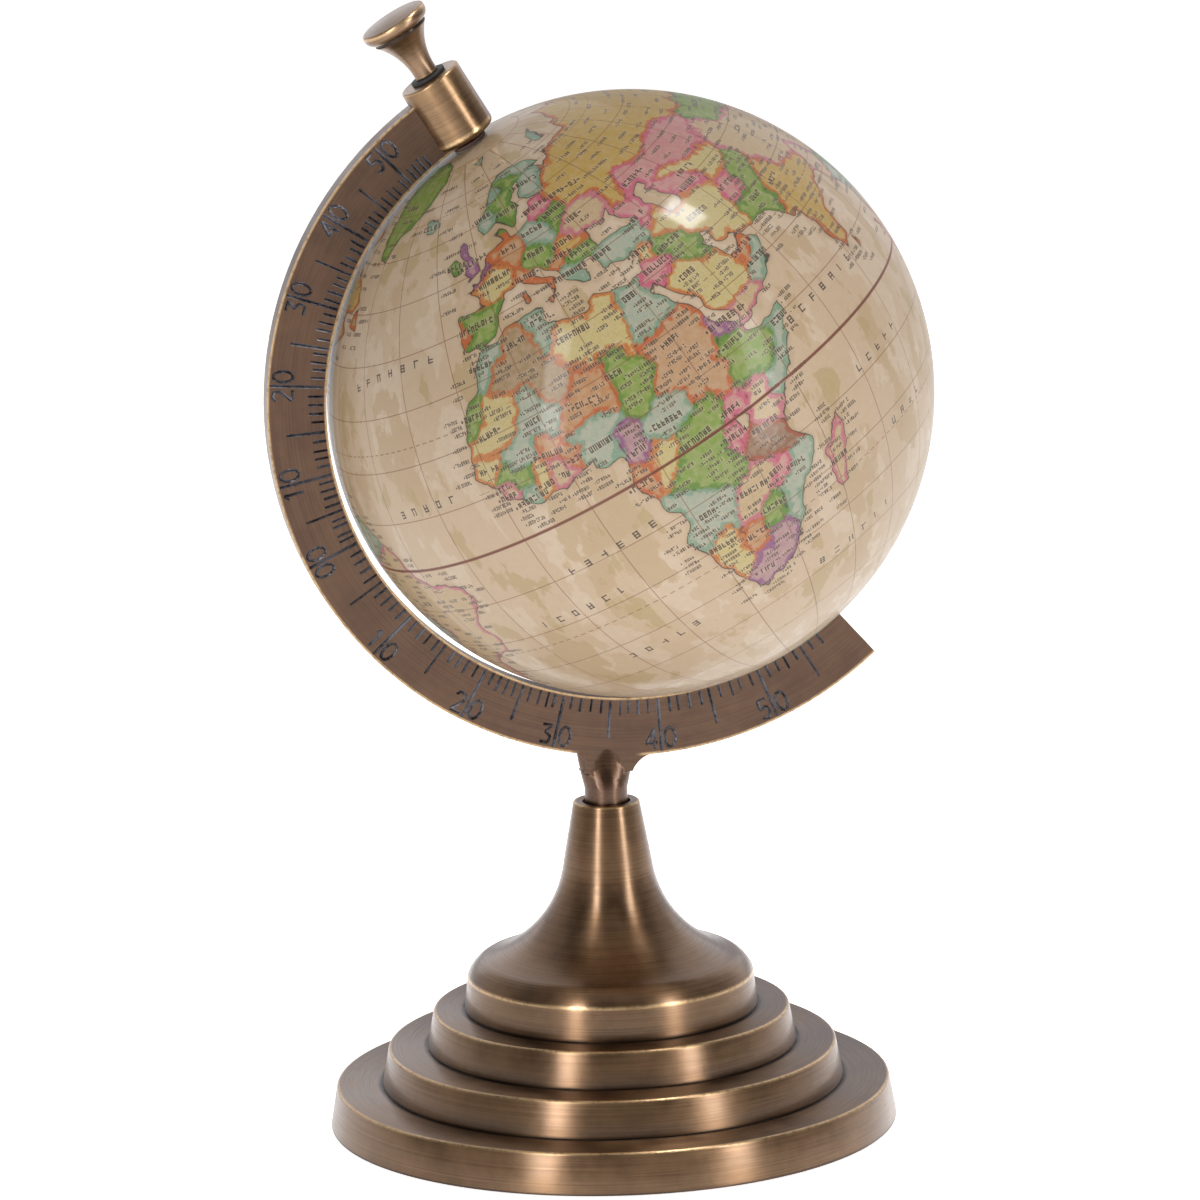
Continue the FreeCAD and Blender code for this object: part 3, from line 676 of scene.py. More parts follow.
@dataclass
class Stand:
    """The stepped foot, the trumpet column and the felt under them. All sizes are in millimetres."""

    steps: int = 192
    side_draft: float = 1.8
    foot_wall: float = 4.0
    foot_web: float = 2.4
    foot_rim: float = 2.0
    felt_recess: float = 2.0
    disc_wall: float = 4.0
    disc_web: float = 3.0
    hub_wall: float = 4.95
    hub_recess: float = 1.8
    hub_play: float = 0.05
    register_height: float = 1.5
    register_radius: float = 12.0
    edge_round: float = 0.7
    edge_inset: float = 0.2
    stud_hole: float = 2.8
    flange_side: float = 8.7
    flange_draft: float = 0.9
    lip_width: float = 4.6
    lip_height: float = 4.4
    lip_round: float = 8.6
    flare_rise: float = 24.8
    flare_round: float = 29.5
    neck_top: float = 8.35
    neck_taper: float = 2.85
    mouth_radius: float = 6.1
    mouth_depth: float = 2.4
    bore_radius: float = 5.0
    bore_depth: float = 21.8
    upright: Matrix = field(default_factory=Matrix)

    def brass(self, name: str, wear_and_highlight_rings: Sequence[Ring], corners: Sequence[Ring]) -> bpy.types.Material:
        """Return brass brushed round the column axis.

        Args:
            name: Name of the material.
            wear_and_highlight_rings: Rings where rubbed metal shows, with a painted highlight.
            corners: Rings that hold painted shade.

        Returns:
            The material.
        """
        return AgedBrass(name, Vector((0.0, 0.0, 0.0)), wear_and_highlight_rings=tuple(wear_and_highlight_rings), corners=tuple(corners)).build()

    def disc_brass(self, name: str, radius: float, bottom: float, top: float,
                   above: float) -> bpy.types.Material:
        """Return the brass of a disc, rubbed and with a painted highlight on its top edge, and with painted
        shade at its foot and round the piece above.

        Args:
            name: Name of the material.
            radius: Radius of the disc.
            bottom: Height of its underside.
            top: Height of its top face.
            above: Radius of the piece that sits on it.

        Returns:
            The material.
        """
        # The top edge ring is rubbed metal with a painted highlight.
        edge = Ring(radius - self.side_draft - self.edge_inset, top - self.edge_inset, 0.75)
        # The rings round the piece above and at the disc's foot are painted shade.
        return self.brass(name, [edge], [Ring(above, top, 1.5), Ring(radius, bottom, 0.9)])

    def hub(self, bottom: float) -> list[Corner]:
        """Outline the hub under a disc, with the recess that fits the register below it.

        Args:
            bottom: Height of the disc's underside.

        Returns:
            The hub's corners, from the stud outwards.
        """
        socket, ceiling = self.register_radius + self.hub_play, bottom + self.hub_recess
        return [Corner(self.stud_hole, ceiling), Corner(socket, ceiling), Corner(socket, bottom),
                Corner(self.register_radius + self.hub_wall, bottom)]

    def foot(self) -> None:
        """Build the foot disc, open underneath."""
        low, high = box_mm("foot_disc")
        radius, top = high.x, high.z - self.register_height
        rim, under_web = radius - self.foot_rim, top - self.foot_web
        corners = [
            Corner(self.stud_hole, under_web), Corner(radius - self.foot_wall, under_web, 1.0),
            Corner(radius - self.foot_wall, self.felt_recess), Corner(rim, self.felt_recess),
            Corner(rim, low.z),
            Corner(radius, low.z, 0.35), Corner(radius - self.side_draft, top, self.edge_round),
            Corner(self.register_radius, top), Corner(self.register_radius, high.z),
            Corner(self.stud_hole, high.z),
        ]
        piece = finished(turned_mesh(corners, self.steps), "foot", self.upright)
        above = box_mm("middle_disc")[1].x
        dress(piece, self.disc_brass("foot_brass", radius, low.z, top, above))
        place_piece(piece, "stand", "antique_brass", "foot_disc")

    def disc(self, name: str, node: str, above: float) -> None:
        """Build one of the two stacked discs.

        Args:
            name: Name of the piece.
            node: CAD node that it stands for.
            above: Radius of the piece that sits on it.
        """
        low, high = box_mm(node)
        radius, top = high.x, high.z - self.register_height
        inner, under_web = radius - self.disc_wall, top - self.disc_web
        hub = self.hub(low.z)
        corners = hub + [
            Corner(hub[-1].radius, under_web), Corner(inner, under_web, 1.0), Corner(inner, low.z),
            Corner(radius, low.z, 0.3), Corner(radius - self.side_draft, top, self.edge_round),
            Corner(self.register_radius, top), Corner(self.register_radius, high.z),
            Corner(self.stud_hole, high.z),
        ]
        piece = finished(turned_mesh(corners, self.steps), name, self.upright)
        dress(piece, self.disc_brass(name + "_brass", radius, low.z, top, above))
        place_piece(piece, "stand", "antique_brass", node)

    def column(self) -> None:
        """Build the trumpet column with its flange and the bore for the arm's spigot."""
        low, high = box_mm("trumpet_column")
        radius, bottom, top = high.x, low.z, high.z
        side_top = bottom + self.flange_side
        shoulder = (radius - self.lip_width, side_top + self.lip_height)
        lip = (radius - self.flange_draft, side_top)
        neck = (self.neck_top + self.neck_taper, shoulder[1] + self.flare_rise)
        under_web = side_top - self.disc_web
        ledge = top - self.mouth_depth
        hub = self.hub(bottom)
        corners = hub + [
            Corner(hub[-1].radius, under_web), Corner(radius - self.disc_wall, under_web, 1.0),
            Corner(radius - self.disc_wall, bottom), Corner(radius, bottom, 0.3), Corner(*lip, 0.2),
            *arc(lip, shoulder, self.lip_round, 1, 8), Corner(*shoulder),
            *arc(shoulder, neck, self.flare_round, -1, 40), Corner(*neck),
            Corner(self.neck_top, top, 0.45), Corner(self.mouth_radius, top, 0.25),
            Corner(self.mouth_radius, ledge), Corner(self.bore_radius, ledge),
            Corner(self.bore_radius, top - self.bore_depth), Corner(self.stud_hole, top - self.bore_depth),
        ]
        piece = finished(turned_mesh(corners, self.steps), "column", self.upright, 40.0)
        # Rubbed metal with a painted highlight on the neck's top edge and on the flange lip.
        wear_and_highlight_rings = [Ring(self.neck_top - 0.2, top - 0.1, 0.7), Ring(lip[0], side_top, 0.8)]
        # Painted shade where the column sits on the disc and in the mouth of the bore.
        painted_shade_rings = [Ring(radius, bottom, 1.2), Ring(self.bore_radius, ledge, 2.6)]
        dress(piece, self.brass("column_brass", wear_and_highlight_rings, painted_shade_rings))
        place_piece(piece, "stand", "antique_brass", "trumpet_column")

    def pad(self) -> None:
        """Build the felt pad with a soft rim."""
        low, high = box_mm("base_pad")
        corners = [Corner(0.0, low.z), Corner(high.x, low.z, 0.5), Corner(high.x, high.z, 0.3),
                   Corner(0.0, high.z)]
        piece = finished(turned_mesh(corners, self.steps), "felt_pad", self.upright)
        felt = PlainFinish("green_felt", srgb(38, 74, 52), srgb(22, 46, 34), 0.9, 1.8, 0.2, nap=0.5)
        dress(piece, felt.build())
        place_piece(piece, "stand", "felt", "base_pad")

    def build(self) -> None:
        """Build every piece of the stand."""
        self.pad()
        self.foot()
        self.disc("middle_step", "middle_disc", box_mm("upper_disc")[1].x)
        self.disc("upper_step", "upper_disc", box_mm("trumpet_column")[1].x)
        self.column()


# Ball axis ------------------------------------------------------------------------------------------------

@dataclass
class BallAxis:
    """Centre and tilted axis of the ball, in millimetres, as the ball's joint gives them."""

    centre: Vector = field(init=False)
    north: Vector = field(init=False)

    def __post_init__(self) -> None:
        """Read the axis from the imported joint."""
        spin = joint("ball_spin")
        self.centre = Vector(spin["pos_m"]) / MM
        self.north = Vector(spin["axis"]).normalized()

    def place(self) -> Matrix:
        """Place a mesh whose Z axis is the ball's axis and whose origin is the ball's centre.

        Returns:
            The placement, in millimetres.
        """
        side = Vector((0.0, 1.0, 0.0))
        turn = Matrix((side.cross(self.north), side, self.north)).transposed()
        return Matrix.Translation(self.centre) @ turn.to_4x4()

    def along(self, node: str, end: int) -> float:
        """Return how far along the axis a turned node reaches from the ball's centre.

        Args:
            node: CAD node.
            end: 0 for its near end and 1 for its far one.

        Returns:
            The distance in millimetres.
        """
        verts = frame["nodes"][node].data.vertices
        reaches = [(v.co / MM - self.centre).dot(self.north) for v in verts]
        return max(reaches) if end else min(reaches)


# Axis screw -----------------------------------------------------------------------------------------------

@dataclass
class AxisScrew:
    """The knob, its shank and its pivot tip, and the thin washer under it."""

    axis: BallAxis
    pivot_radius: float = 1.8
    shank_radius: float = 2.5
    neck_radius: float = 3.05
    neck_length: float = 13.0
    flare_round: float = 16.5
    groove_radius: float = 7.2
    groove_depth: float = 0.35
    groove_width: float = 0.7
    rim_radius: float = 8.7
    rim_height: float = 3.4
    rim_round: float = 2.2
    edge_width: float = 0.8
    dome_rise: float = 0.8
    shank_start: float = 77.9
    washer_radius: float = 4.6
    washer_play: float = 0.1
    washer_round: float = 0.15

    def knob(self) -> None:
        """Build the turned knob and its shank."""
        tip = self.axis.along("axis_screw", 0)
        top = self.axis.along("axis_screw", 1)
        rim_end = top - self.dome_rise
        rim_start = rim_end - self.rim_height
        neck = rim_start - self.neck_length
        face = self.rim_radius - self.edge_width
        dome = (face ** 2 + self.dome_rise ** 2) / (2.0 * self.dome_rise)
        groove_low = rim_start - self.groove_width
        floor = self.groove_radius - self.groove_depth
        corners = [
            Corner(0.0, tip), Corner(self.pivot_radius, tip, 0.4),
            Corner(self.pivot_radius, self.shank_start), Corner(self.shank_radius, self.shank_start),
            Corner(self.shank_radius, neck),
            Corner(self.neck_radius, neck, 0.2),
            *arc((self.neck_radius, neck), (self.groove_radius, groove_low), self.flare_round, -1, 22),
            Corner(self.groove_radius, groove_low, 0.12), Corner(floor, groove_low), Corner(floor, rim_start),
            Corner(self.groove_radius, rim_start),
            *arc((self.groove_radius, rim_start), (self.rim_radius, rim_start + self.rim_round),
                 self.rim_round, 1, 7),
            Corner(self.rim_radius, rim_start + self.rim_round),
            Corner(self.rim_radius, rim_end - self.edge_width),
            *arc((self.rim_radius, rim_end - self.edge_width), (face, rim_end), self.edge_width, 1, 4),
            Corner(face, rim_end), *arc((face, rim_end), (0.0, top), dome, 1, 14), Corner(0.0, top),
        ]
        piece = finished(turned_mesh(corners, 128, 2), "knob", self.axis.place(), 40.0)
        brass = AgedBrass("knob_brass", self.axis.centre * MM, self.axis.north, body=srgb(142, 114, 88),
                          patina=srgb(100, 78, 60), brushed=0.3,
                          # Rubbed metal with a painted highlight on the rim edge and the neck.
                          wear_and_highlight_rings=(Ring(self.rim_radius, rim_end - 0.4, 1.1), Ring(self.neck_radius, neck, 0.8)),
                          # Painted shade in the groove and where the shank meets the neck.
                          corners=(Ring(floor, rim_start - 0.35, 0.9), Ring(self.shank_radius, neck, 1.0)))
        dress(piece, brass.build())
        place_piece(piece, "axis_screw", "antique_brass", "axis_screw")

    def washer(self) -> None:
        """Build the thin dark washer between the knob and the collar."""
        low, high = self.axis.along("knob_washer", 0), self.axis.along("knob_washer", 1)
        hole, edge = self.shank_radius + self.washer_play, self.washer_round
        corners = [Corner(hole, low), Corner(self.washer_radius, low, edge),
                   Corner(self.washer_radius, high, edge), Corner(hole, high)]
        piece = finished(turned_mesh(corners, 96, 3), "fibre_washer", self.axis.place())
        dress(piece, PlainFinish("dark_fibre", srgb(44, 42, 44), srgb(26, 25, 27), 0.6, 2.0, 0.03).build())
        place_piece(piece, "lifting_washer", "dark_fibre", "knob_washer")

    def build(self) -> None:
        """Build both pieces."""
        self.knob()
        self.washer()


# Meridian arm ---------------------------------------------------------------------------------------------

Stroke = tuple[tuple[float, float], ...]

DIGITS: dict[str, tuple[Stroke, ...]] = {
    "0": (tuple((0.5 - 0.45 * math.sin(k * math.tau / 12), 0.5 + 0.5 * math.cos(k * math.tau / 12))
                for k in range(13)),),
    "1": (((0.2, 0.8), (0.5, 1.0), (0.5, 0.0)),),
    "2": (((0.05, 0.8), (0.3, 1.0), (0.75, 0.95), (0.85, 0.65), (0.1, 0.0), (0.95, 0.0)),),
    "3": (((0.1, 0.95), (0.85, 0.95), (0.4, 0.58), (0.85, 0.4), (0.75, 0.05), (0.1, 0.05)),),
    "4": (((0.75, 0.0), (0.75, 1.0), (0.05, 0.3), (0.95, 0.3)),),
    "5": (((0.85, 1.0), (0.2, 1.0), (0.15, 0.55), (0.7, 0.6), (0.85, 0.3), (0.6, 0.0), (0.1, 0.05)),),
}


@dataclass
class MeridianArm:
    """The cast arm with its stem and collar, and the scale in its front. Sizes are in millimetres."""

    axis: BallAxis
    inner: float = 77.4
    outer: float = 92.3
    face: float = 3.0
    digit_height: float = 5.0
    digit_width: float = 3.1
    digit_gap: float = 0.85
    digit_groove: float = 0.78
    label_inset: float = 3.9
    inverted_from: float = 210.0
    groove_depth: float = 0.32
    major_groove: float = 0.85
    minor_groove: float = 0.68
    minor_reach: float = 3.5
    middle_reach: float = 9.4
    scale_start: float = 128.5
    scale_end: float = 307.0
    before: tuple[float, int] = (121.5, 60)
    after: tuple[float, int] = (311.0, 60)
    collar_start: float = 77.0
    collar_reach: float = 8.2
    collar_top: float = 93.0
    majors: tuple[tuple[float, int], ...] = (
        (134.0, 50), (147.0, 40), (160.7, 30), (175.2, 20), (191.5, 10), (205.2, 0), (222.5, 10), (240.1, 20),
        (255.7, 30), (273.3, 40), (292.7, 50))

    def at(self, radius: float, degrees: float) -> Vector:
        """Find a point on the front face.

        Args:
            radius: How far it is from the ball's centre.
            degrees: Its angle, anticlockwise from the right.

        Returns:
            The point.
        """
        turn = math.radians(degrees)
        way = Vector((math.cos(turn), 0.0, math.sin(turn)))
        return self.axis.centre + way * radius - Vector((0.0, self.face, 0.0))

    def cut(self, mesh: bmesh.types.BMesh, start: Vector, end: Vector, width: float) -> None:
        """Add a bar that cuts a V groove from one point to another.

        Args:
            mesh: Mesh of the cutters.
            start: Where the groove starts.
            end: Where it ends.
            width: Its width at the surface.
        """
        run = end - start
        along = run.normalized()
        across = Vector((0.0, 1.0, 0.0)).cross(along)
        columns = (across * width, Vector((0.0, 2.0 * self.groove_depth, 0.0)), along * (run.length + 0.12))
        turn = Matrix(columns).transposed().to_4x4()
        bmesh.ops.create_cone(mesh, cap_ends=True, segments=4, radius1=0.5, radius2=0.5, depth=1.0,
                              matrix=Matrix.Translation((start + end) / 2.0) @ turn)

    def cut_label(self, mesh: bmesh.types.BMesh, degrees: float, value: int) -> None:
        """Cut the two digits of a label, one on each side of its line.

        Args:
            mesh: Mesh of the cutters.
            degrees: Angle of the line.
            value: Number that the digits show.
        """
        outward = (self.at(1.0, degrees) - self.at(0.0, degrees)).normalized()
        up = outward if degrees < self.inverted_from else -outward
        right = up.cross(Vector((0.0, -1.0, 0.0)))
        middle = self.at(self.outer - self.label_inset, degrees)
        for side, digit in zip((-1.0, 1.0), f"{value:02d}"):
            aside = side * (self.digit_width / 2.0 + self.digit_gap) - self.digit_width / 2.0
            corner = middle + right * aside
            corner -= up * self.digit_height / 2.0
            for stroke in DIGITS[digit]:
                points = [corner + right * (x * self.digit_width) + up * (y * self.digit_height)
                          for x, y in stroke]
                for start, end in zip(points, points[1:]):
                    self.cut(mesh, start, end, self.digit_groove)

    def cutters(self) -> bpy.types.Object:
        """Make every bar of the scale, with a seeded unevenness in the minor lines.

        Returns:
            The object that holds the bars.
        """
        chance = random.Random(31)
        mesh = bmesh.new()
        for degrees, value in self.majors:
            self.cut(mesh, self.at(self.inner + 0.9, degrees), self.at(self.outer - 0.8, degrees),
                     self.major_groove)
            self.cut_label(mesh, degrees, value)
        spans = list(zip(self.majors, self.majors[1:]))
        spans += [(self.majors[-1], self.after), (self.before, self.majors[0])]
        for (low, _), (high, _) in spans:
            for step in range(1, 10):
                degrees = low + (high - low) * step / 10.0 + chance.uniform(-0.22, 0.22)
                if not self.scale_start < degrees < self.scale_end:
                    continue
                reach = (self.middle_reach if step == 5 else self.minor_reach) + chance.uniform(-0.5, 0.5)
                start = self.inner + 0.7
                self.cut(mesh, self.at(start, degrees), self.at(start + reach, degrees),
                         self.minor_groove + chance.uniform(-0.1, 0.14))
        tools = finished(mesh, "scale_cutters", Matrix())
        groove = PlainFinish("groove_patina", srgb(112, 112, 118), srgb(40, 38, 42), 0.42, 1.3, 0.05,
                             metal=0.85)
        dress(tools, groove.build())
        return tools

    def collar_faces(self, piece: bpy.types.Object) -> None:
        """Give the collar's faces the second material.

        Args:
            piece: The arm, before its scale is cut.
        """
        for face in piece.data.polygons:
            offset = face.center / MM - self.axis.centre
            along = offset.dot(self.axis.north)
            beside = (offset - self.axis.north * along).length
            proud = abs(offset.y) > self.face + 0.05
            boss = along > self.collar_start and beside < self.collar_reach and proud
            if boss or along > self.collar_top:
                face.material_index = 1

    def build(self) -> None:
        """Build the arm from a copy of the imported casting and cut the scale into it."""
        mesh = bmesh.new()
        mesh.from_mesh(frame["nodes"]["meridian_arm"].data)
        bmesh.ops.remove_doubles(mesh, verts=mesh.verts, dist=0.002 * MM)
        bmesh.ops.dissolve_limit(mesh, angle_limit=math.radians(0.4), verts=mesh.verts, edges=mesh.edges)
        bmesh.ops.recalc_face_normals(mesh, faces=mesh.faces)
        piece = finished(mesh, "arm", Matrix.Scale(1.0 / MM, 4))
        edge = self.face - 0.15
        # Rubbed metal with a painted highlight along the arm's four long edges, calmed near the stem.
        wear_and_highlight_rings = tuple(Ring(radius, height, 0.6) for radius in (self.inner + 0.2, self.outer - 0.2)
                     for height in (-edge, edge))
        cast = AgedBrass("arm_brass", self.axis.centre * MM, Vector((0.0, 1.0, 0.0)), body=srgb(102, 77, 59),
                         patina=srgb(74, 54, 42), brushed=0.4, shine=0.36, wear_and_highlight_rings=wear_and_highlight_rings,
                         calm=(0.0, 0.0, (self.axis.centre.z - self.outer) * MM))
        end = self.axis.along("meridian_arm", 1)
        # The collar has rubbed metal with a painted highlight round its two ends.
        collar = AgedBrass("collar_brass", self.axis.centre * MM, self.axis.north, body=srgb(148, 118, 84),
                           patina=srgb(112, 86, 62), brushed=0.5,
                           wear_and_highlight_rings=(Ring(8.0, 79.5, 1.0), Ring(8.0, end, 0.8)))
        dress(piece, cast.build(), collar.build())
        self.collar_faces(piece)
        tools = self.cutters()
        carve = piece.modifiers.new("scale", "BOOLEAN")
        carve.operation, carve.solver, carve.object = "DIFFERENCE", "EXACT", tools
        carve.use_self, carve.material_mode = True, "TRANSFER"
        shading = piece.modifiers.new("even_shading", "WEIGHTED_NORMAL")
        shading.keep_sharp = True
        bpy.context.view_layer.update()
        graph = bpy.context.evaluated_depsgraph_get()
        carved = bpy.data.meshes.new_from_object(piece.evaluated_get(graph))
        piece.modifiers.clear()
        piece.data = carved
        bpy.data.objects.remove(tools)
        place_piece(piece, "arm", "antique_brass", "meridian_arm")


# Printed map ----------------------------------------------------------------------------------------------

class Tint(Enum):
    """Printed tint of a country: the colour of its middle and of its edge."""

    OCHRE = (srgb(166, 138, 98), srgb(188, 108, 58))
    SAND = (srgb(196, 142, 92), srgb(196, 98, 48))
    STRAW = (srgb(208, 190, 126), srgb(200, 112, 50))
    PEACH = (srgb(198, 156, 116), srgb(198, 98, 52))
    UMBER = (srgb(146, 104, 76), srgb(168, 80, 46))
    MIST = (srgb(172, 182, 162), srgb(130, 160, 132))
    LEAF = (srgb(132, 162, 68), srgb(96, 136, 52))
    ROSE = (srgb(204, 176, 134), srgb(198, 110, 128))
    MAUVE = (srgb(182, 140, 148), srgb(146, 88, 132))
    GOLD = (srgb(200, 164, 76), srgb(196, 98, 52))
    PINK = (srgb(208, 140, 140), srgb(204, 92, 122))
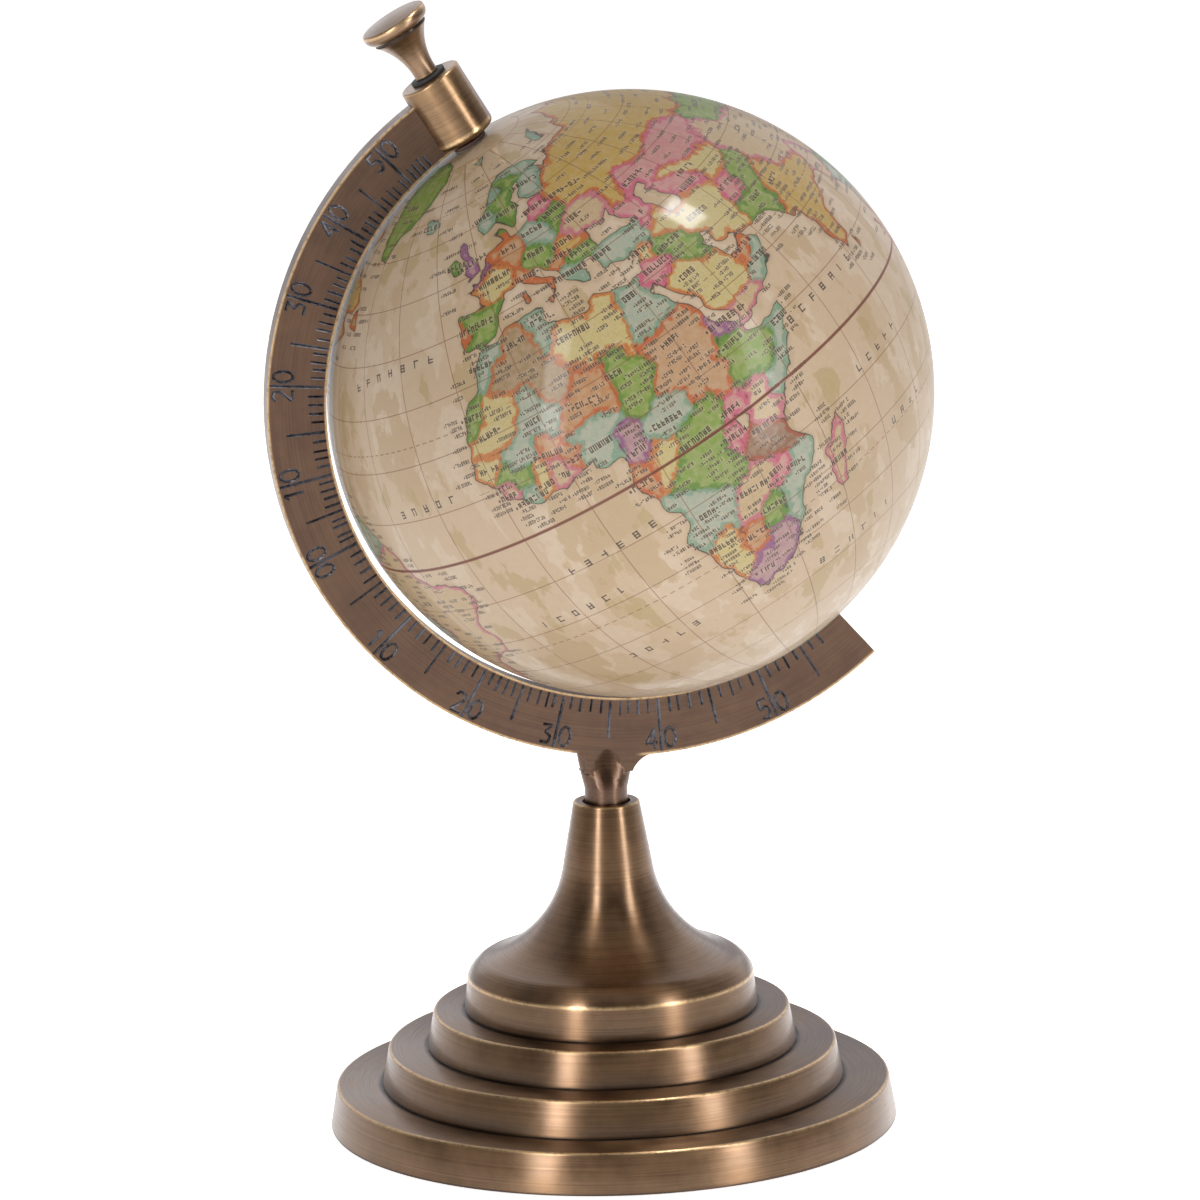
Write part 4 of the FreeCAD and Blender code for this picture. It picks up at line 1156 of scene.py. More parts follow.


# Outlines of land, as longitudes and latitudes in degrees. The last point joins the first.
LANDS: dict[str, tuple[LonLat, ...]] = {
    "africa": (
        (-5.9, 35.8), (-2, 35.1), (1, 36.5), (5, 36.8), (10, 37.3), (11, 37), (10.2, 34.5), (11.2, 33.2),
        (13, 32.9), (15.3, 32.3), (15.7, 31.4), (18, 30.6), (20, 31), (20.1, 32.5), (22, 32.9), (25, 31.7),
        (29, 30.9), (31, 31.5), (32.5, 31.2), (32.6, 29.9), (33.6, 27.8), (35.5, 24), (37.2, 21),
        (37.4, 18.8), (39.3, 15.6), (41.2, 14.6), (43.2, 12.5), (43.3, 11.5), (45, 10.6), (48, 11.2),
        (51.2, 11.9), (50.8, 9.4), (49, 6.5), (47.5, 4.3), (45, 2), (42.5, -0.5), (41, -2), (39.7, -4),
        (38.8, -6.3), (39.5, -8.5), (40.5, -10.8), (40.6, -14.8), (38, -17.2), (35.5, -19.5), (34.9, -20.5),
        (35.5, -23.5), (32.8, -25.8), (32.6, -28), (31, -29.9), (28.5, -32.8), (25.7, -33.9), (22, -34.1),
        (20, -34.8), (18.4, -34.1), (18.2, -32.5), (16.8, -29), (15, -26.5), (14.4, -22.8), (12, -18),
        (11.8, -16), (13.6, -12.3), (13.2, -9), (12, -5.5), (9.6, -2.4), (9.4, 0.5), (9.7, 3), (8.7, 4.5),
        (6, 4.3), (4.4, 6.3), (1.5, 6.2), (-2, 4.8), (-4.5, 5.2), (-7.6, 4.4), (-9.2, 5.4), (-11.5, 6.9),
        (-13.3, 8.8), (-13.7, 9.6), (-15, 11), (-16.8, 12.4), (-17.4, 14.7), (-16.5, 16), (-16.3, 19),
        (-17, 21), (-16, 23.7), (-14.8, 26), (-12.9, 27.8), (-10, 29.6), (-9.6, 31.4), (-7.5, 33.6),
        (-6.5, 34.8)),
    "madagascar": (
        (49.3, -12), (50.5, -15.5), (49.7, -16), (48.5, -20.5), (47.1, -24.9), (45, -25.5), (43.6, -23.5),
        (43.5, -21.3), (44.4, -20), (44, -17), (46.3, -15.7), (48, -13.6)),
    "eurasia": (
        (-5.6, 36), (-2, 36.8), (-0.3, 38.6), (0, 40), (3.2, 41.9), (3.1, 43.1), (6, 43.1), (8.8, 44.4),
        (10.3, 43), (12.3, 41.7), (14.5, 40.6), (16, 38.9), (15.7, 38), (16.6, 38.5), (17, 39.5),
        (16.8, 40.4), (18.5, 40.1), (16, 41.6), (14, 42.8), (12.4, 44.3), (13.6, 45.6), (14.5, 45.2),
        (15.2, 44.2), (18.5, 42.4), (19.4, 41.5), (20, 39.7), (21.2, 38), (21.8, 36.9), (23, 36.5),
        (23.2, 38), (24, 38), (22.9, 39.3), (22.8, 40.5), (24.5, 40.8), (26.2, 40.1), (26.8, 38.5),
        (27.5, 37), (29, 36.4), (30.6, 36.8), (32.5, 36.1), (34.5, 36.7), (36, 36.7), (35.8, 35),
        (35.2, 33), (34.4, 31.4), (32.2, 31.3), (32.2, 30), (33.2, 28.6), (34.2, 27.8), (34.9, 29.4),
        (35.2, 28), (37.2, 24.8), (38.5, 22.5), (39.2, 20.5), (41, 18.2), (42.6, 16.4), (42.8, 14.5),
        (43.4, 12.7), (45, 12.8), (48, 14), (52, 15.7), (55, 17.2), (57.7, 19), (58.8, 20.5), (59.8, 22.5),
        (58.5, 23.7), (56.6, 24.6), (56.3, 26.2), (55.2, 25.4), (54, 24.2), (51.6, 24.1), (51.5, 25.5),
        (50.2, 26.6), (48.5, 28.4), (47.9, 29.5), (48.6, 30.3), (50, 30.2), (51.3, 28), (54.5, 26.6),
        (56.5, 27.1), (57.2, 25.8), (61.5, 25.1), (66.5, 25.3), (68, 23.7), (69, 22.3), (70.3, 20.9),
        (72.6, 21.3), (72.8, 19), (74, 15), (76, 10.5), (77.5, 8.1), (78.5, 9.2), (79.9, 10.4), (80.2, 13),
        (80.2, 15.5), (82.3, 16.7), (84.8, 19), (87, 21.3), (90, 22), (92, 21.8), (94.2, 18.5), (94.4, 16),
        (97, 16.8), (98.2, 14), (98.5, 9.5), (100.3, 6), (101.5, 3), (104.2, 1.4), (103.5, 4.5),
        (102.5, 6.2), (100.3, 8.5), (99.5, 11.5), (100.6, 13.4), (102.5, 12), (105, 8.7), (109, 11.5),
        (108.8, 15.3), (106, 19), (108.3, 21.6), (113.5, 22.2), (117, 23.5), (119.7, 26), (121.8, 29.5),
        (121.8, 31.5), (119.5, 34.8), (120.5, 36.3), (122.3, 37), (118.5, 38.2), (121.5, 40.8), (124.5, 40),
        (125, 38), (126.5, 34.6), (129.3, 35.6), (129, 38), (127.5, 39.8), (130.7, 42.3), (135, 43.5),
        (140.3, 48.5), (141, 53), (137, 54), (142, 59), (150, 59.5), (155.5, 59.2), (156, 57),
        (156.6, 51.2), (160, 54), (163, 58), (163.5, 60.5), (170, 60), (179, 62.5), (182, 64.5), (190, 66),
        (183, 67.5), (178, 69), (170, 69.8), (160, 69.6), (150, 71.5), (140, 72.5), (130, 71), (125, 73.5),
        (113, 74), (105, 77.5), (95, 76), (87, 75), (80, 72.5), (72, 73), (68.5, 68.5), (60, 69),
        (54, 68.5), (46, 68), (44, 66.3), (40, 64.7), (34, 66.6), (41, 66.7), (36, 69.2), (31, 70),
        (25.7, 71), (20, 70), (15, 68), (12.5, 65.5), (10.5, 64), (5.5, 62), (5, 60), (6.5, 58.1),
        (8.5, 58.3), (10.6, 59.2), (11.8, 57.7), (12.8, 55.5), (14.3, 55.5), (16.5, 57), (17.5, 59),
        (18.8, 60), (17.2, 61.5), (21.5, 64.5), (24, 65.8), (25.3, 65), (21.5, 62.7), (21.4, 60.9),
        (25, 60.1), (29.5, 59.9), (24, 59.3), (24.3, 57.3), (21.5, 57.2), (21, 55.3), (19, 54.4),
        (14.3, 53.9), (10.9, 54.1), (10.4, 57.5), (8.2, 56.7), (8.7, 54), (7, 53.4), (4.7, 52.8),
        (3.5, 51.3), (1.6, 50.4), (0, 49.5), (-1.9, 49.6), (-1.5, 48.6), (-4.7, 48.4), (-2.3, 47.2),
        (-1.2, 46), (-1.6, 43.4), (-8, 43.7), (-9.3, 43), (-8.8, 40.5), (-9.4, 38.7), (-8.9, 37),
        (-6.4, 36.8)),
    "great_britain": (
        (-5.5, 50.1), (-3, 50.6), (1.2, 51), (1.6, 52.7), (0, 53.3), (-1.8, 55.3), (-2, 57.5), (-3.5, 58.6),
        (-5, 58.5), (-5.8, 56.5), (-4.8, 55), (-3, 54), (-4.5, 53.2), (-4.2, 52.2), (-5.2, 51.8),
        (-3, 51.3)),
    "ireland": ((-6.2, 52.3), (-6, 54.5), (-7.5, 55.2), (-10, 54), (-9.8, 51.7)),
    "iceland": ((-22.5, 64), (-18.5, 63.5), (-14, 65), (-16, 66.4), (-23.5, 66.2)),
    "greenland": (
        (-44, 60), (-40, 65), (-25, 70), (-19, 76), (-20, 81.5), (-35, 83.3), (-60, 82), (-72, 78),
        (-58, 75.5), (-54, 70), (-52, 65), (-48, 61)),
    "svalbard": ((11, 79), (17, 76.7), (25, 80)),
    "novaya_zemlya": ((52, 71), (57, 70.7), (60, 75), (68, 76.8), (55, 75)),
    "sicily": ((12.5, 38), (15.5, 38.2), (15.2, 36.8)),
    "sardinia": ((8.3, 41), (9.6, 41), (9.5, 39.2), (8.5, 39)),
    "crete": ((23.6, 35.5), (26.2, 35.2), (24, 35)),
    "cyprus": ((32.4, 34.9), (34.4, 35.6), (33.5, 34.7)),
    "sri_lanka": ((80, 9.7), (81.8, 7.2), (80.3, 6)),
    "new_zealand_north": (
        (172.7, -34.5), (175.5, -37), (178.5, -37.8), (175.3, -41.6), (173.8, -39.3), (174.8, -37.5)),
    "new_zealand_south": (
        (172.7, -40.6), (174.2, -41.5), (170.8, -45.8), (168.4, -46.6), (166.5, -45.8), (170, -43)),
    "honshu": (
        (130.2, 31.2), (131.5, 33.5), (135.5, 33.5), (140.8, 35.7), (141.9, 39.5), (141.2, 41.4),
        (139.8, 39), (136.8, 37), (132, 35.5), (130, 33.5)),
    "hokkaido": ((140, 41.5), (145.3, 43.3), (141.8, 45.5)),
    "borneo": ((109, 1.5), (113, 3.2), (117, 7), (119, 5.2), (117.8, 1), (116, -4), (110.5, -3)),
    "sumatra": ((95.3, 5.6), (98, 4.2), (103.5, -1), (106, -3.5), (105.5, -5.9), (101, -3), (98, 1.5)),
    "java": ((105.2, -6.8), (108.5, -6.6), (114.4, -7.8), (114.4, -8.7), (108, -7.8)),
    "sulawesi": (
        (119.8, 0.8), (125, 1.6), (120.8, 0.4), (121.5, -1), (123.3, -1), (121.6, -2), (122.5, -5),
        (120.5, -3), (119.8, -5.6), (119, -3)),
    "new_guinea": (
        (131, -0.8), (134, -0.8), (135, -3.3), (141, -2.6), (147.5, -6), (150.8, -10.5), (147, -9.5),
        (143.5, -8.5), (138.5, -8.3), (137.8, -5.2), (133, -4)),
    "luzon": ((120.5, 18.5), (122.2, 18.4), (121.6, 14.2), (124, 12.7), (120.6, 14)),
    "mindanao": ((125.5, 9.8), (126.4, 6.5), (122, 7), (123.5, 8.6)),
    "cuba": ((-84.8, 21.9), (-80, 23.1), (-74.3, 20.2), (-77.5, 19.9)),
    "hispaniola": ((-74.4, 18.5), (-73, 19.9), (-68.5, 18.6)),
    "baffin": (
        (-62, 66), (-68, 63), (-78, 65), (-73, 68), (-88, 70.5), (-89, 73.5), (-78, 73), (-67, 69.5)),
    "ellesmere": ((-90, 76.5), (-78, 76.5), (-62, 82.5), (-80, 83), (-92, 81)),
    "victoria_island": ((-117, 69.5), (-103, 69), (-105, 73), (-118, 73)),
    "newfoundland": ((-59.3, 47.7), (-53, 46.8), (-55.5, 51.5)),
    "north_america": (
        (-168, 65.8), (-162, 70), (-156.5, 71.3), (-141, 69.7), (-128, 70), (-115, 68), (-95, 68.5),
        (-94, 72), (-85, 69.5), (-82, 67), (-87, 64.5), (-94.5, 61), (-92.5, 57), (-82.3, 55), (-80, 51.5),
        (-78.7, 54.5), (-77, 57), (-78, 62.4), (-70, 61), (-65, 58.5), (-61.5, 56.5), (-56, 52.5),
        (-60, 50.2), (-66, 50), (-65, 47), (-61, 45.5), (-66, 43.8), (-70, 43.5), (-70, 41.6), (-74, 40.5),
        (-75.8, 36.5), (-77.5, 34.3), (-81, 31.5), (-80.2, 26.5), (-81, 25.2), (-82.7, 28), (-84.2, 30),
        (-89.5, 30.2), (-94, 29.5), (-97.3, 27.5), (-97.7, 22.5), (-95.5, 18.7), (-91.5, 18.5), (-90.3, 21),
        (-87, 21.4), (-88.3, 16.5), (-84, 15.8), (-83.5, 11.5), (-80.5, 9), (-77.3, 8.3), (-80, 7.5),
        (-85, 10), (-88, 13), (-94, 16), (-99.5, 16.7), (-105.5, 20), (-105.5, 22.5), (-109.5, 26.5),
        (-113, 31.2), (-114.8, 31.5), (-110.5, 24.5), (-109.8, 23), (-112.3, 25.8), (-115, 29),
        (-117.2, 32.6), (-120.6, 34.6), (-124, 39.5), (-124.3, 43), (-124.5, 48.3), (-123, 49),
        (-128, 51.5), (-133.5, 56.5), (-139, 59.8), (-148, 60.5), (-153.5, 58), (-162, 55), (-158, 58.5),
        (-165, 62.5), (-161, 64.5)),
    "south_america": (
        (-77.4, 8.5), (-75.5, 10.7), (-71.5, 12.3), (-70, 11.5), (-68, 11), (-62, 10.7), (-60, 8.5),
        (-55, 6), (-51.5, 4.3), (-50, 0.5), (-44, -2.7), (-40, -2.9), (-35.3, -5.2), (-34.9, -8),
        (-37, -11), (-39, -13.5), (-39, -17.8), (-40.8, -22), (-44.5, -23.1), (-48.5, -26), (-48.8, -28.6),
        (-53.5, -34), (-58.4, -34), (-57, -36.5), (-62, -39), (-65, -41), (-64, -43), (-67.5, -46),
        (-65.8, -48), (-69, -51), (-68.4, -53), (-65.3, -54.8), (-71, -54), (-75, -51), (-75.5, -46.7),
        (-73.5, -42), (-73.5, -37.2), (-71.5, -32), (-70.3, -23), (-70.4, -18.4), (-76, -14), (-79.5, -8),
        (-81.2, -5), (-80, -2.5), (-80, 0.5), (-77.2, 4)),
    "australia": (
        (113.7, -22.5), (114.2, -26.3), (115.7, -32), (115.2, -34.3), (118, -35), (124, -33.2),
        (131.2, -31.5), (135.5, -34.8), (138, -33.5), (138.5, -35.5), (141, -38.2), (146.3, -39),
        (150, -37.3), (153.2, -31), (153.3, -25.5), (149.5, -21.5), (146, -18.8), (145.3, -15),
        (142.5, -10.8), (141.5, -14), (140.8, -17.5), (135.5, -15), (136.8, -12.2), (131, -12.2),
        (129.5, -15), (125.5, -14.3), (122, -18)),
    "antarctica": (
        (-180, -78), (-150, -77), (-130, -74), (-100, -73), (-75, -73), (-65, -66), (-57, -63.3),
        (-61, -68), (-60, -74), (-40, -78), (-20, -73), (0, -70), (30, -69), (50, -66.5), (80, -68),
        (110, -66), (145, -67), (170, -71.5), (165, -78), (180, -78), (180, -90), (-180, -90)),
}

# Inland seas and lakes.
WATERS: dict[str, tuple[LonLat, ...]] = {
    "black_sea": (
        (28.5, 43.7), (30, 45.5), (31, 46.6), (33.5, 46), (33, 45.2), (35.5, 45), (37.5, 46.9), (39, 47),
        (37.8, 45.2), (41.5, 42), (39, 41), (36, 41.3), (32, 41.6), (29, 41.2)),
    "caspian": (
        (47.5, 45.5), (51.5, 46.8), (53, 45.2), (51, 44.2), (53.5, 41.8), (53, 39.5), (53.8, 37),
        (50, 37.3), (49, 38.5), (49.5, 40.5), (47.5, 42.5)),
    "lake_victoria": ((32, 0.4), (34, 0), (33.2, -2.4), (31.8, -1.8)),
}

# Countries: the tint and a few places inside each one.
COUNTRIES: tuple[tuple[Tint, tuple[LonLat, ...]], ...] = (
    (Tint.OCHRE, ((1.5, 33.5), (2.5, 28), (6, 24.5), (-3, 29.5))), (Tint.MIST, ((-6.5, 32.5), (-3.5, 34))),
    (Tint.MIST, ((9.5, 35), (9.7, 33))),
    (Tint.STRAW, ((14, 29.5), (18, 27), (21, 30.5), (21.5, 25.5), (14, 26.5))),
    (Tint.MIST, ((29, 29.5), (28, 25.5), (32.5, 25))), (Tint.LEAF, ((-13.5, 24.5), (-14.5, 23))),
    (Tint.STRAW, ((-11, 20.5), (-9, 18.5), (-13.5, 18), (-8, 23.5))),
    (Tint.MIST, ((-2.5, 19), (-1, 21), (-6, 14.5), (0.5, 17.5), (-8.5, 13))),
    (Tint.SAND, ((9, 17.5), (11.5, 20), (5, 14.8), (12.5, 15.5))),
    (Tint.LEAF, ((18.5, 19), (18.5, 14.5), (17, 10.5), (20.5, 16))),
    (Tint.PEACH, ((29, 18.5), (33.5, 17), (26, 13), (31, 13.5), (29, 9.5), (32, 7), (27, 7.5), (35, 14.5),
                  (33, 20.5), (31, 5.5))),
    (Tint.MAUVE, ((38.5, 15.8),)), (Tint.LEAF, ((38.5, 11.5), (39.5, 8), (42.5, 7.3), (37, 6.8))),
    (Tint.MIST, ((49.5, 9.5), (46.5, 4.5), (43.5, 1.8), (48.5, 7))),
    (Tint.ROSE, ((38, 1.5), (37.3, -1), (39.3, -1.5))), (Tint.PINK, ((32.5, 1.8),)),
    (Tint.PINK, ((30, -2.7),)), (Tint.UMBER, ((35, -4.5), (34.5, -7.5), (37, -8.5), (32.5, -5))),
    (Tint.LEAF, ((23, 1), (26.5, -1.5), (22, -3.5), (26, -7.5), (27.5, 3), (19, -4.8), (24, -6))),
    (Tint.STRAW, ((15.5, -1), (16.5, 1.8))), (Tint.SAND, ((11.8, -0.8),)),
    (Tint.MAUVE, ((12.5, 5), (13, 7.5), (14.5, 3.5))), (Tint.MIST, ((20.5, 6.8), (23, 6.5), (17.5, 5.8))),
    (Tint.MIST, ((7.5, 9.5), (5, 8.5), (11, 11.3), (6, 12), (7, 6.3))), (Tint.SAND, ((2.2, 9.5),)),
    (Tint.ROSE, ((-1.2, 7.8),)), (Tint.STRAW, ((-5.5, 7.6),)), (Tint.SAND, ((-1.5, 12.4),)),
    (Tint.MIST, ((-9.3, 6.4),)), (Tint.ROSE, ((-11.8, 8.5),)), (Tint.LEAF, ((-11, 10.6), (-9, 9))),
    (Tint.STRAW, ((-14.8, 14.5),)), (Tint.MIST, ((17.5, -12.5), (14.5, -15.5), (20.5, -13.5), (16.5, -9))),
    (Tint.ROSE, ((27.5, -13.5), (25, -15.5), (31, -11.8))), (Tint.PINK, ((34, -13),)),
    (Tint.MIST, ((38, -14.5), (35.5, -17.5), (34, -19.5), (34, -23.5))), (Tint.LEAF, ((30, -19),)),
    (Tint.SAND, ((24, -22),)), (Tint.STRAW, ((16.5, -20), (17.5, -24.5), (18, -27))),
    (Tint.MAUVE, ((22, -30.5), (25.5, -29), (29, -27), (20.5, -32.5), (28, -31.5), (30, -24.5))),
    (Tint.ROSE, ((46.8, -19.5), (47, -15), (46, -23.5))),
    (Tint.LEAF, ((-3.5, 40), (-5.5, 38), (-1, 41), (-5, 42))), (Tint.SAND, ((-8.2, 39.8),)),
    (Tint.STRAW, ((2.5, 46.8), (0, 44.8), (4.5, 45))), (Tint.SAND, ((10.5, 51.2),)),
    (Tint.MIST, ((19.5, 52),)), (Tint.SAND, ((11, 44), (13, 42.3), (16, 40.6))),
    (Tint.MAUVE, ((-2, 52.5), (-4, 57))), (Tint.LEAF, ((-8, 53.3),)),
    (Tint.MIST, ((8.5, 61.2), (14, 66), (24, 69.7))), (Tint.LEAF, ((15.5, 59.5), (16, 63.5), (20.5, 67))),
    (Tint.MIST, ((26.5, 63.5),)), (Tint.PINK, ((25, 56.5),)), (Tint.LEAF, ((28, 53.3),)),
    (Tint.ROSE, ((31, 49.3), (35, 48.5))), (Tint.GOLD, ((25.5, 46),)), (Tint.SAND, ((21, 44),)),
    (Tint.MIST, ((22, 39.8),)), (Tint.LEAF, ((25.5, 42.6),)), (Tint.LEAF, ((17, 47.3),)),
    (Tint.MIST, ((30, 39.5), (35, 39.3), (40, 39.5))), (Tint.STRAW, ((38.5, 35.2),)),
    (Tint.LEAF, ((43, 33.2), (45.5, 31.5))), (Tint.PINK, ((36.8, 31.3),)),
    (Tint.STRAW, ((42, 26.5), (45.5, 24), (48.5, 21), (43.5, 20.5), (39.5, 27.5), (50, 23.2))),
    (Tint.ROSE, ((45, 15.5), (48.5, 16.3))), (Tint.MIST, ((56.5, 20.5), (54.5, 18))),
    (Tint.SAND, ((54.3, 23.7),)),
    (Tint.STRAW, ((53, 34), (57, 32), (50.5, 33), (56, 29), (59, 34.5), (47.5, 36.5))),
    (Tint.PINK, ((44.5, 41.3),)), (Tint.PINK, ((59, 39.3),)), (Tint.STRAW, ((63, 41.8), (66, 39.5))),
    (Tint.PINK, ((52, 48), (60, 49), (67, 48), (75, 48.5), (82, 48), (66, 45))), (Tint.PINK, ((66, 34),)),
    (Tint.LEAF, ((68.5, 28.5), (72, 31.5))),
    (Tint.GOLD, ((77, 28), (75, 24), (78, 21), (82, 22.5), (77, 16), (78, 12), (86, 24), (74, 19))),
    (Tint.ROSE, ((90, 38), (100, 35), (110, 33), (104, 28), (115, 28), (117, 38), (125, 45), (85, 44),
                 (88, 31), (113, 23.5))),
    (Tint.LEAF, ((103, 46.5), (93, 47.5), (112, 46))),
    (Tint.GOLD, ((36, 56), (42, 60), (50, 56), (58, 60), (45, 50), (70, 62), (80, 60), (90, 65), (100, 60),
                 (110, 65), (120, 60), (135, 62), (150, 64), (165, 65), (60, 53), (75, 55), (85, 53),
                 (95, 53), (110, 53), (130, 51), (160, 56), (178, 66))),
    (Tint.ROSE, ((96, 21),)), (Tint.MIST, ((101, 15.5),)), (Tint.LEAF, ((106, 17),)),
    (Tint.SAND, ((127.5, 37),)), (Tint.ROSE, ((137, 36), (142, 43))),
    (Tint.LEAF, ((-42, 72), (-45, 64), (-40, 80))), (Tint.MIST, ((-19, 65),)),
    (Tint.GOLD, ((-110, 60), (-95, 55), (-75, 53), (-120, 65), (-65, 60), (-100, 72))),
    (Tint.MIST, ((-100, 40), (-85, 38), (-115, 42), (-150, 65), (-80, 33), (-100, 32))),
    (Tint.LEAF, ((-102, 24), (-108, 28), (-92, 17))),
    (Tint.ROSE, ((-52, -8), (-60, -5), (-45, -12), (-50, -22), (-40, -7), (-55, -28))),
    (Tint.STRAW, ((-65, -32), (-67, -42), (-60, -35))), (Tint.SAND, ((-75, -10),)),
    (Tint.MIST, ((-64, -17),)), (Tint.LEAF, ((-73, 4),)), (Tint.MIST, ((-66, 7),)),
    (Tint.PINK, ((-71.5, -35), (-73, -46))), (Tint.PEACH, ((121, -27), (122, -22))),
    (Tint.ROSE, ((133, -20), (134, -28))), (Tint.GOLD, ((146, -24),)), (Tint.STRAW, ((145, -33),)),
    (Tint.SAND, ((172, -41),)), (Tint.PEACH, ((115, 0), (102, 0), (138, -4))),
    (Tint.MIST, ((0, -82), (90, -76), (180, -82), (-90, -78))),
)

# Longitude that faces the map's own X axis, the ball's radius in millimetres, and how the lettering
# coordinates tell one line of letters from the next.
EAST = 111.0
BALL_RADIUS = 76.0
OCEAN_NAMES = 2000
LABEL_PITCH = 64.0
LABEL_START = 8.0


def unit(lon: float, lat: float) -> np.ndarray:
    """Return the way from the ball's centre to a place on the map, in the ball's own frame."""
    around, up = math.radians(lon - EAST), math.radians(lat)
    return np.array((math.cos(around) * math.cos(up), math.sin(around) * math.cos(up), math.sin(up)))


@dataclass(frozen=True)
class Label:
    """A line of small lettering: its middle, its height and spacing in millimetres, and its letters."""

    lon: float
    lat: float
    height: float
    advance: float
    letters: int
    number: int
    slope: float = 0.0


class PrintedMap:
    """Works out how far each point of the ball is from shore and border, and where the lettering goes."""

    reach: float = 8.0
    batch: int = 16000
    most_labels: int = 1400
    tries: int = 9000
    line_step: float = 1.25

    def __init__(self) -> None:
        """Prepare the seeded waviness of the outlines and the places that stand for the countries."""
        chance = np.random.default_rng(7)
        waves = []
        for size, bend in ((22.0, 0.75), (9.0, 0.42), (4.2, 0.26), (2.3, 0.14)):
            for _ in range(4):
                way = chance.normal(size=3)
                way /= np.linalg.norm(way)
                push = chance.normal(size=3)
                waves.append((way * math.tau * BALL_RADIUS / size,
                              push / np.linalg.norm(push) * bend / BALL_RADIUS,
                              chance.uniform(0.0, math.tau)))
        self.waves = waves
        self.seeds = np.array([unit(*place) for _, places in COUNTRIES for place in places])
        self.owner = np.array([k for k, (_, places) in enumerate(COUNTRIES) for _ in places])

    def wavy(self, points: np.ndarray, share: float = 1.0) -> np.ndarray:
        """Return points moved a little, so that straight outlines look drawn by hand.

        Args:
            points: Unit vectors, one in each row.
            share: How much of the waviness is used.

        Returns:
            The moved unit vectors.
        """
        moved = points.copy()
        for way, push, phase in self.waves:
            moved += np.sin(points @ way + phase)[:, None] * push * share
        return moved / np.linalg.norm(moved, axis=1)[:, None]

    def inside(self, points: np.ndarray, outline: Sequence[LonLat]) -> np.ndarray:
        """Find which points lie inside an outline.

        Args:
            points: Unit vectors, one in each row.
            outline: Corners of the outline.

        Returns:
            True for each point that lies inside.
        """
        corners = np.array(outline, dtype=float)
        middle = (corners[:, 0].min() + corners[:, 0].max()) / 2.0
        lat = np.degrees(np.arcsin(np.clip(points[:, 2], -1.0, 1.0)))
        lon = np.degrees(np.arctan2(points[:, 1], points[:, 0])) + EAST
        lon = middle + (lon - middle + 180.0) % 360.0 - 180.0
        odd = np.zeros(len(points), dtype=bool)
        for (x0, y0), (x1, y1) in zip(corners, np.roll(corners, -1, axis=0)):
            if y0 != y1:
                crossing = (lat > min(y0, y1)) & (lat <= max(y0, y1))
                odd ^= crossing & (lon < x0 + (lat - y0) * (x1 - x0) / (y1 - y0))
        return odd

    def shore(self, points: np.ndarray) -> np.ndarray:
        """Measure how far each point is from the shore.

        Args:
            points: Unit vectors, one in each row.

        Returns:
            The distances in millimetres, below zero at sea and never past the reach.
        """
        points = self.wavy(points)
        away = np.full(len(points), self.reach)
        land = np.zeros(len(points), dtype=bool)
        for outline, wet in [(o, False) for o in LANDS.values()] + [(o, True) for o in WATERS.values()]:
            within = self.inside(points, outline)
            land = land & ~within if wet else land | within
            for (x0, y0), (x1, y1) in zip(outline, outline[1:] + outline[:1]):
                if min(y0, y1) < -85.0:
                    continue
                parts = max(1, math.ceil(max(abs(x1 - x0), abs(y1 - y0)) / 6.0))
                stops = [unit(x0 + (x1 - x0) * k / parts, y0 + (y1 - y0) * k / parts)
                         for k in range(parts + 1)]
                for start, end in zip(stops, stops[1:]):
                    middle = (start + end) / np.linalg.norm(start + end)
                    span = np.linalg.norm(end - start) / 2.0 + self.reach / BALL_RADIUS
                    near = np.nonzero(points @ middle > math.cos(min(span * 1.05, 3.1)))[0]
                    run = end - start
                    share = np.clip((points[near] - start) @ run / max(run @ run, 1e-12), 0.0, 1.0)
                    gap = np.linalg.norm(points[near] - start - share[:, None] * run, axis=1) * BALL_RADIUS
                    away[near] = np.minimum(away[near], gap)
        return np.where(land, away, -away)

    def country(self, points: np.ndarray) -> tuple[np.ndarray, np.ndarray]:
        """Find the country of each point.

        Args:
            points: Unit vectors, one in each row.

        Returns:
            The number of each point's country, and how far the next one is in millimetres.
        """
        points = self.wavy(points, 1.15)
        owner = np.zeros(len(points), dtype=int)
        border = np.zeros(len(points))
        for begin in range(0, len(points), self.batch):
            part = points[begin:begin + self.batch]
            near = part @ self.seeds.T
            own = near.argmax(axis=1)
            mine = self.owner[own]
            others = np.where(self.owner[None, :] == mine[:, None], -2.0, near)
            other = others.argmax(axis=1)
            rows = np.arange(len(part))
            apart = np.linalg.norm(self.seeds[own] - self.seeds[other], axis=1)
            border[begin:begin + self.batch] = (near[rows, own] - near[rows, other]) / np.maximum(apart, 1e-6)
            owner[begin:begin + self.batch] = mine
        return owner, border * BALL_RADIUS

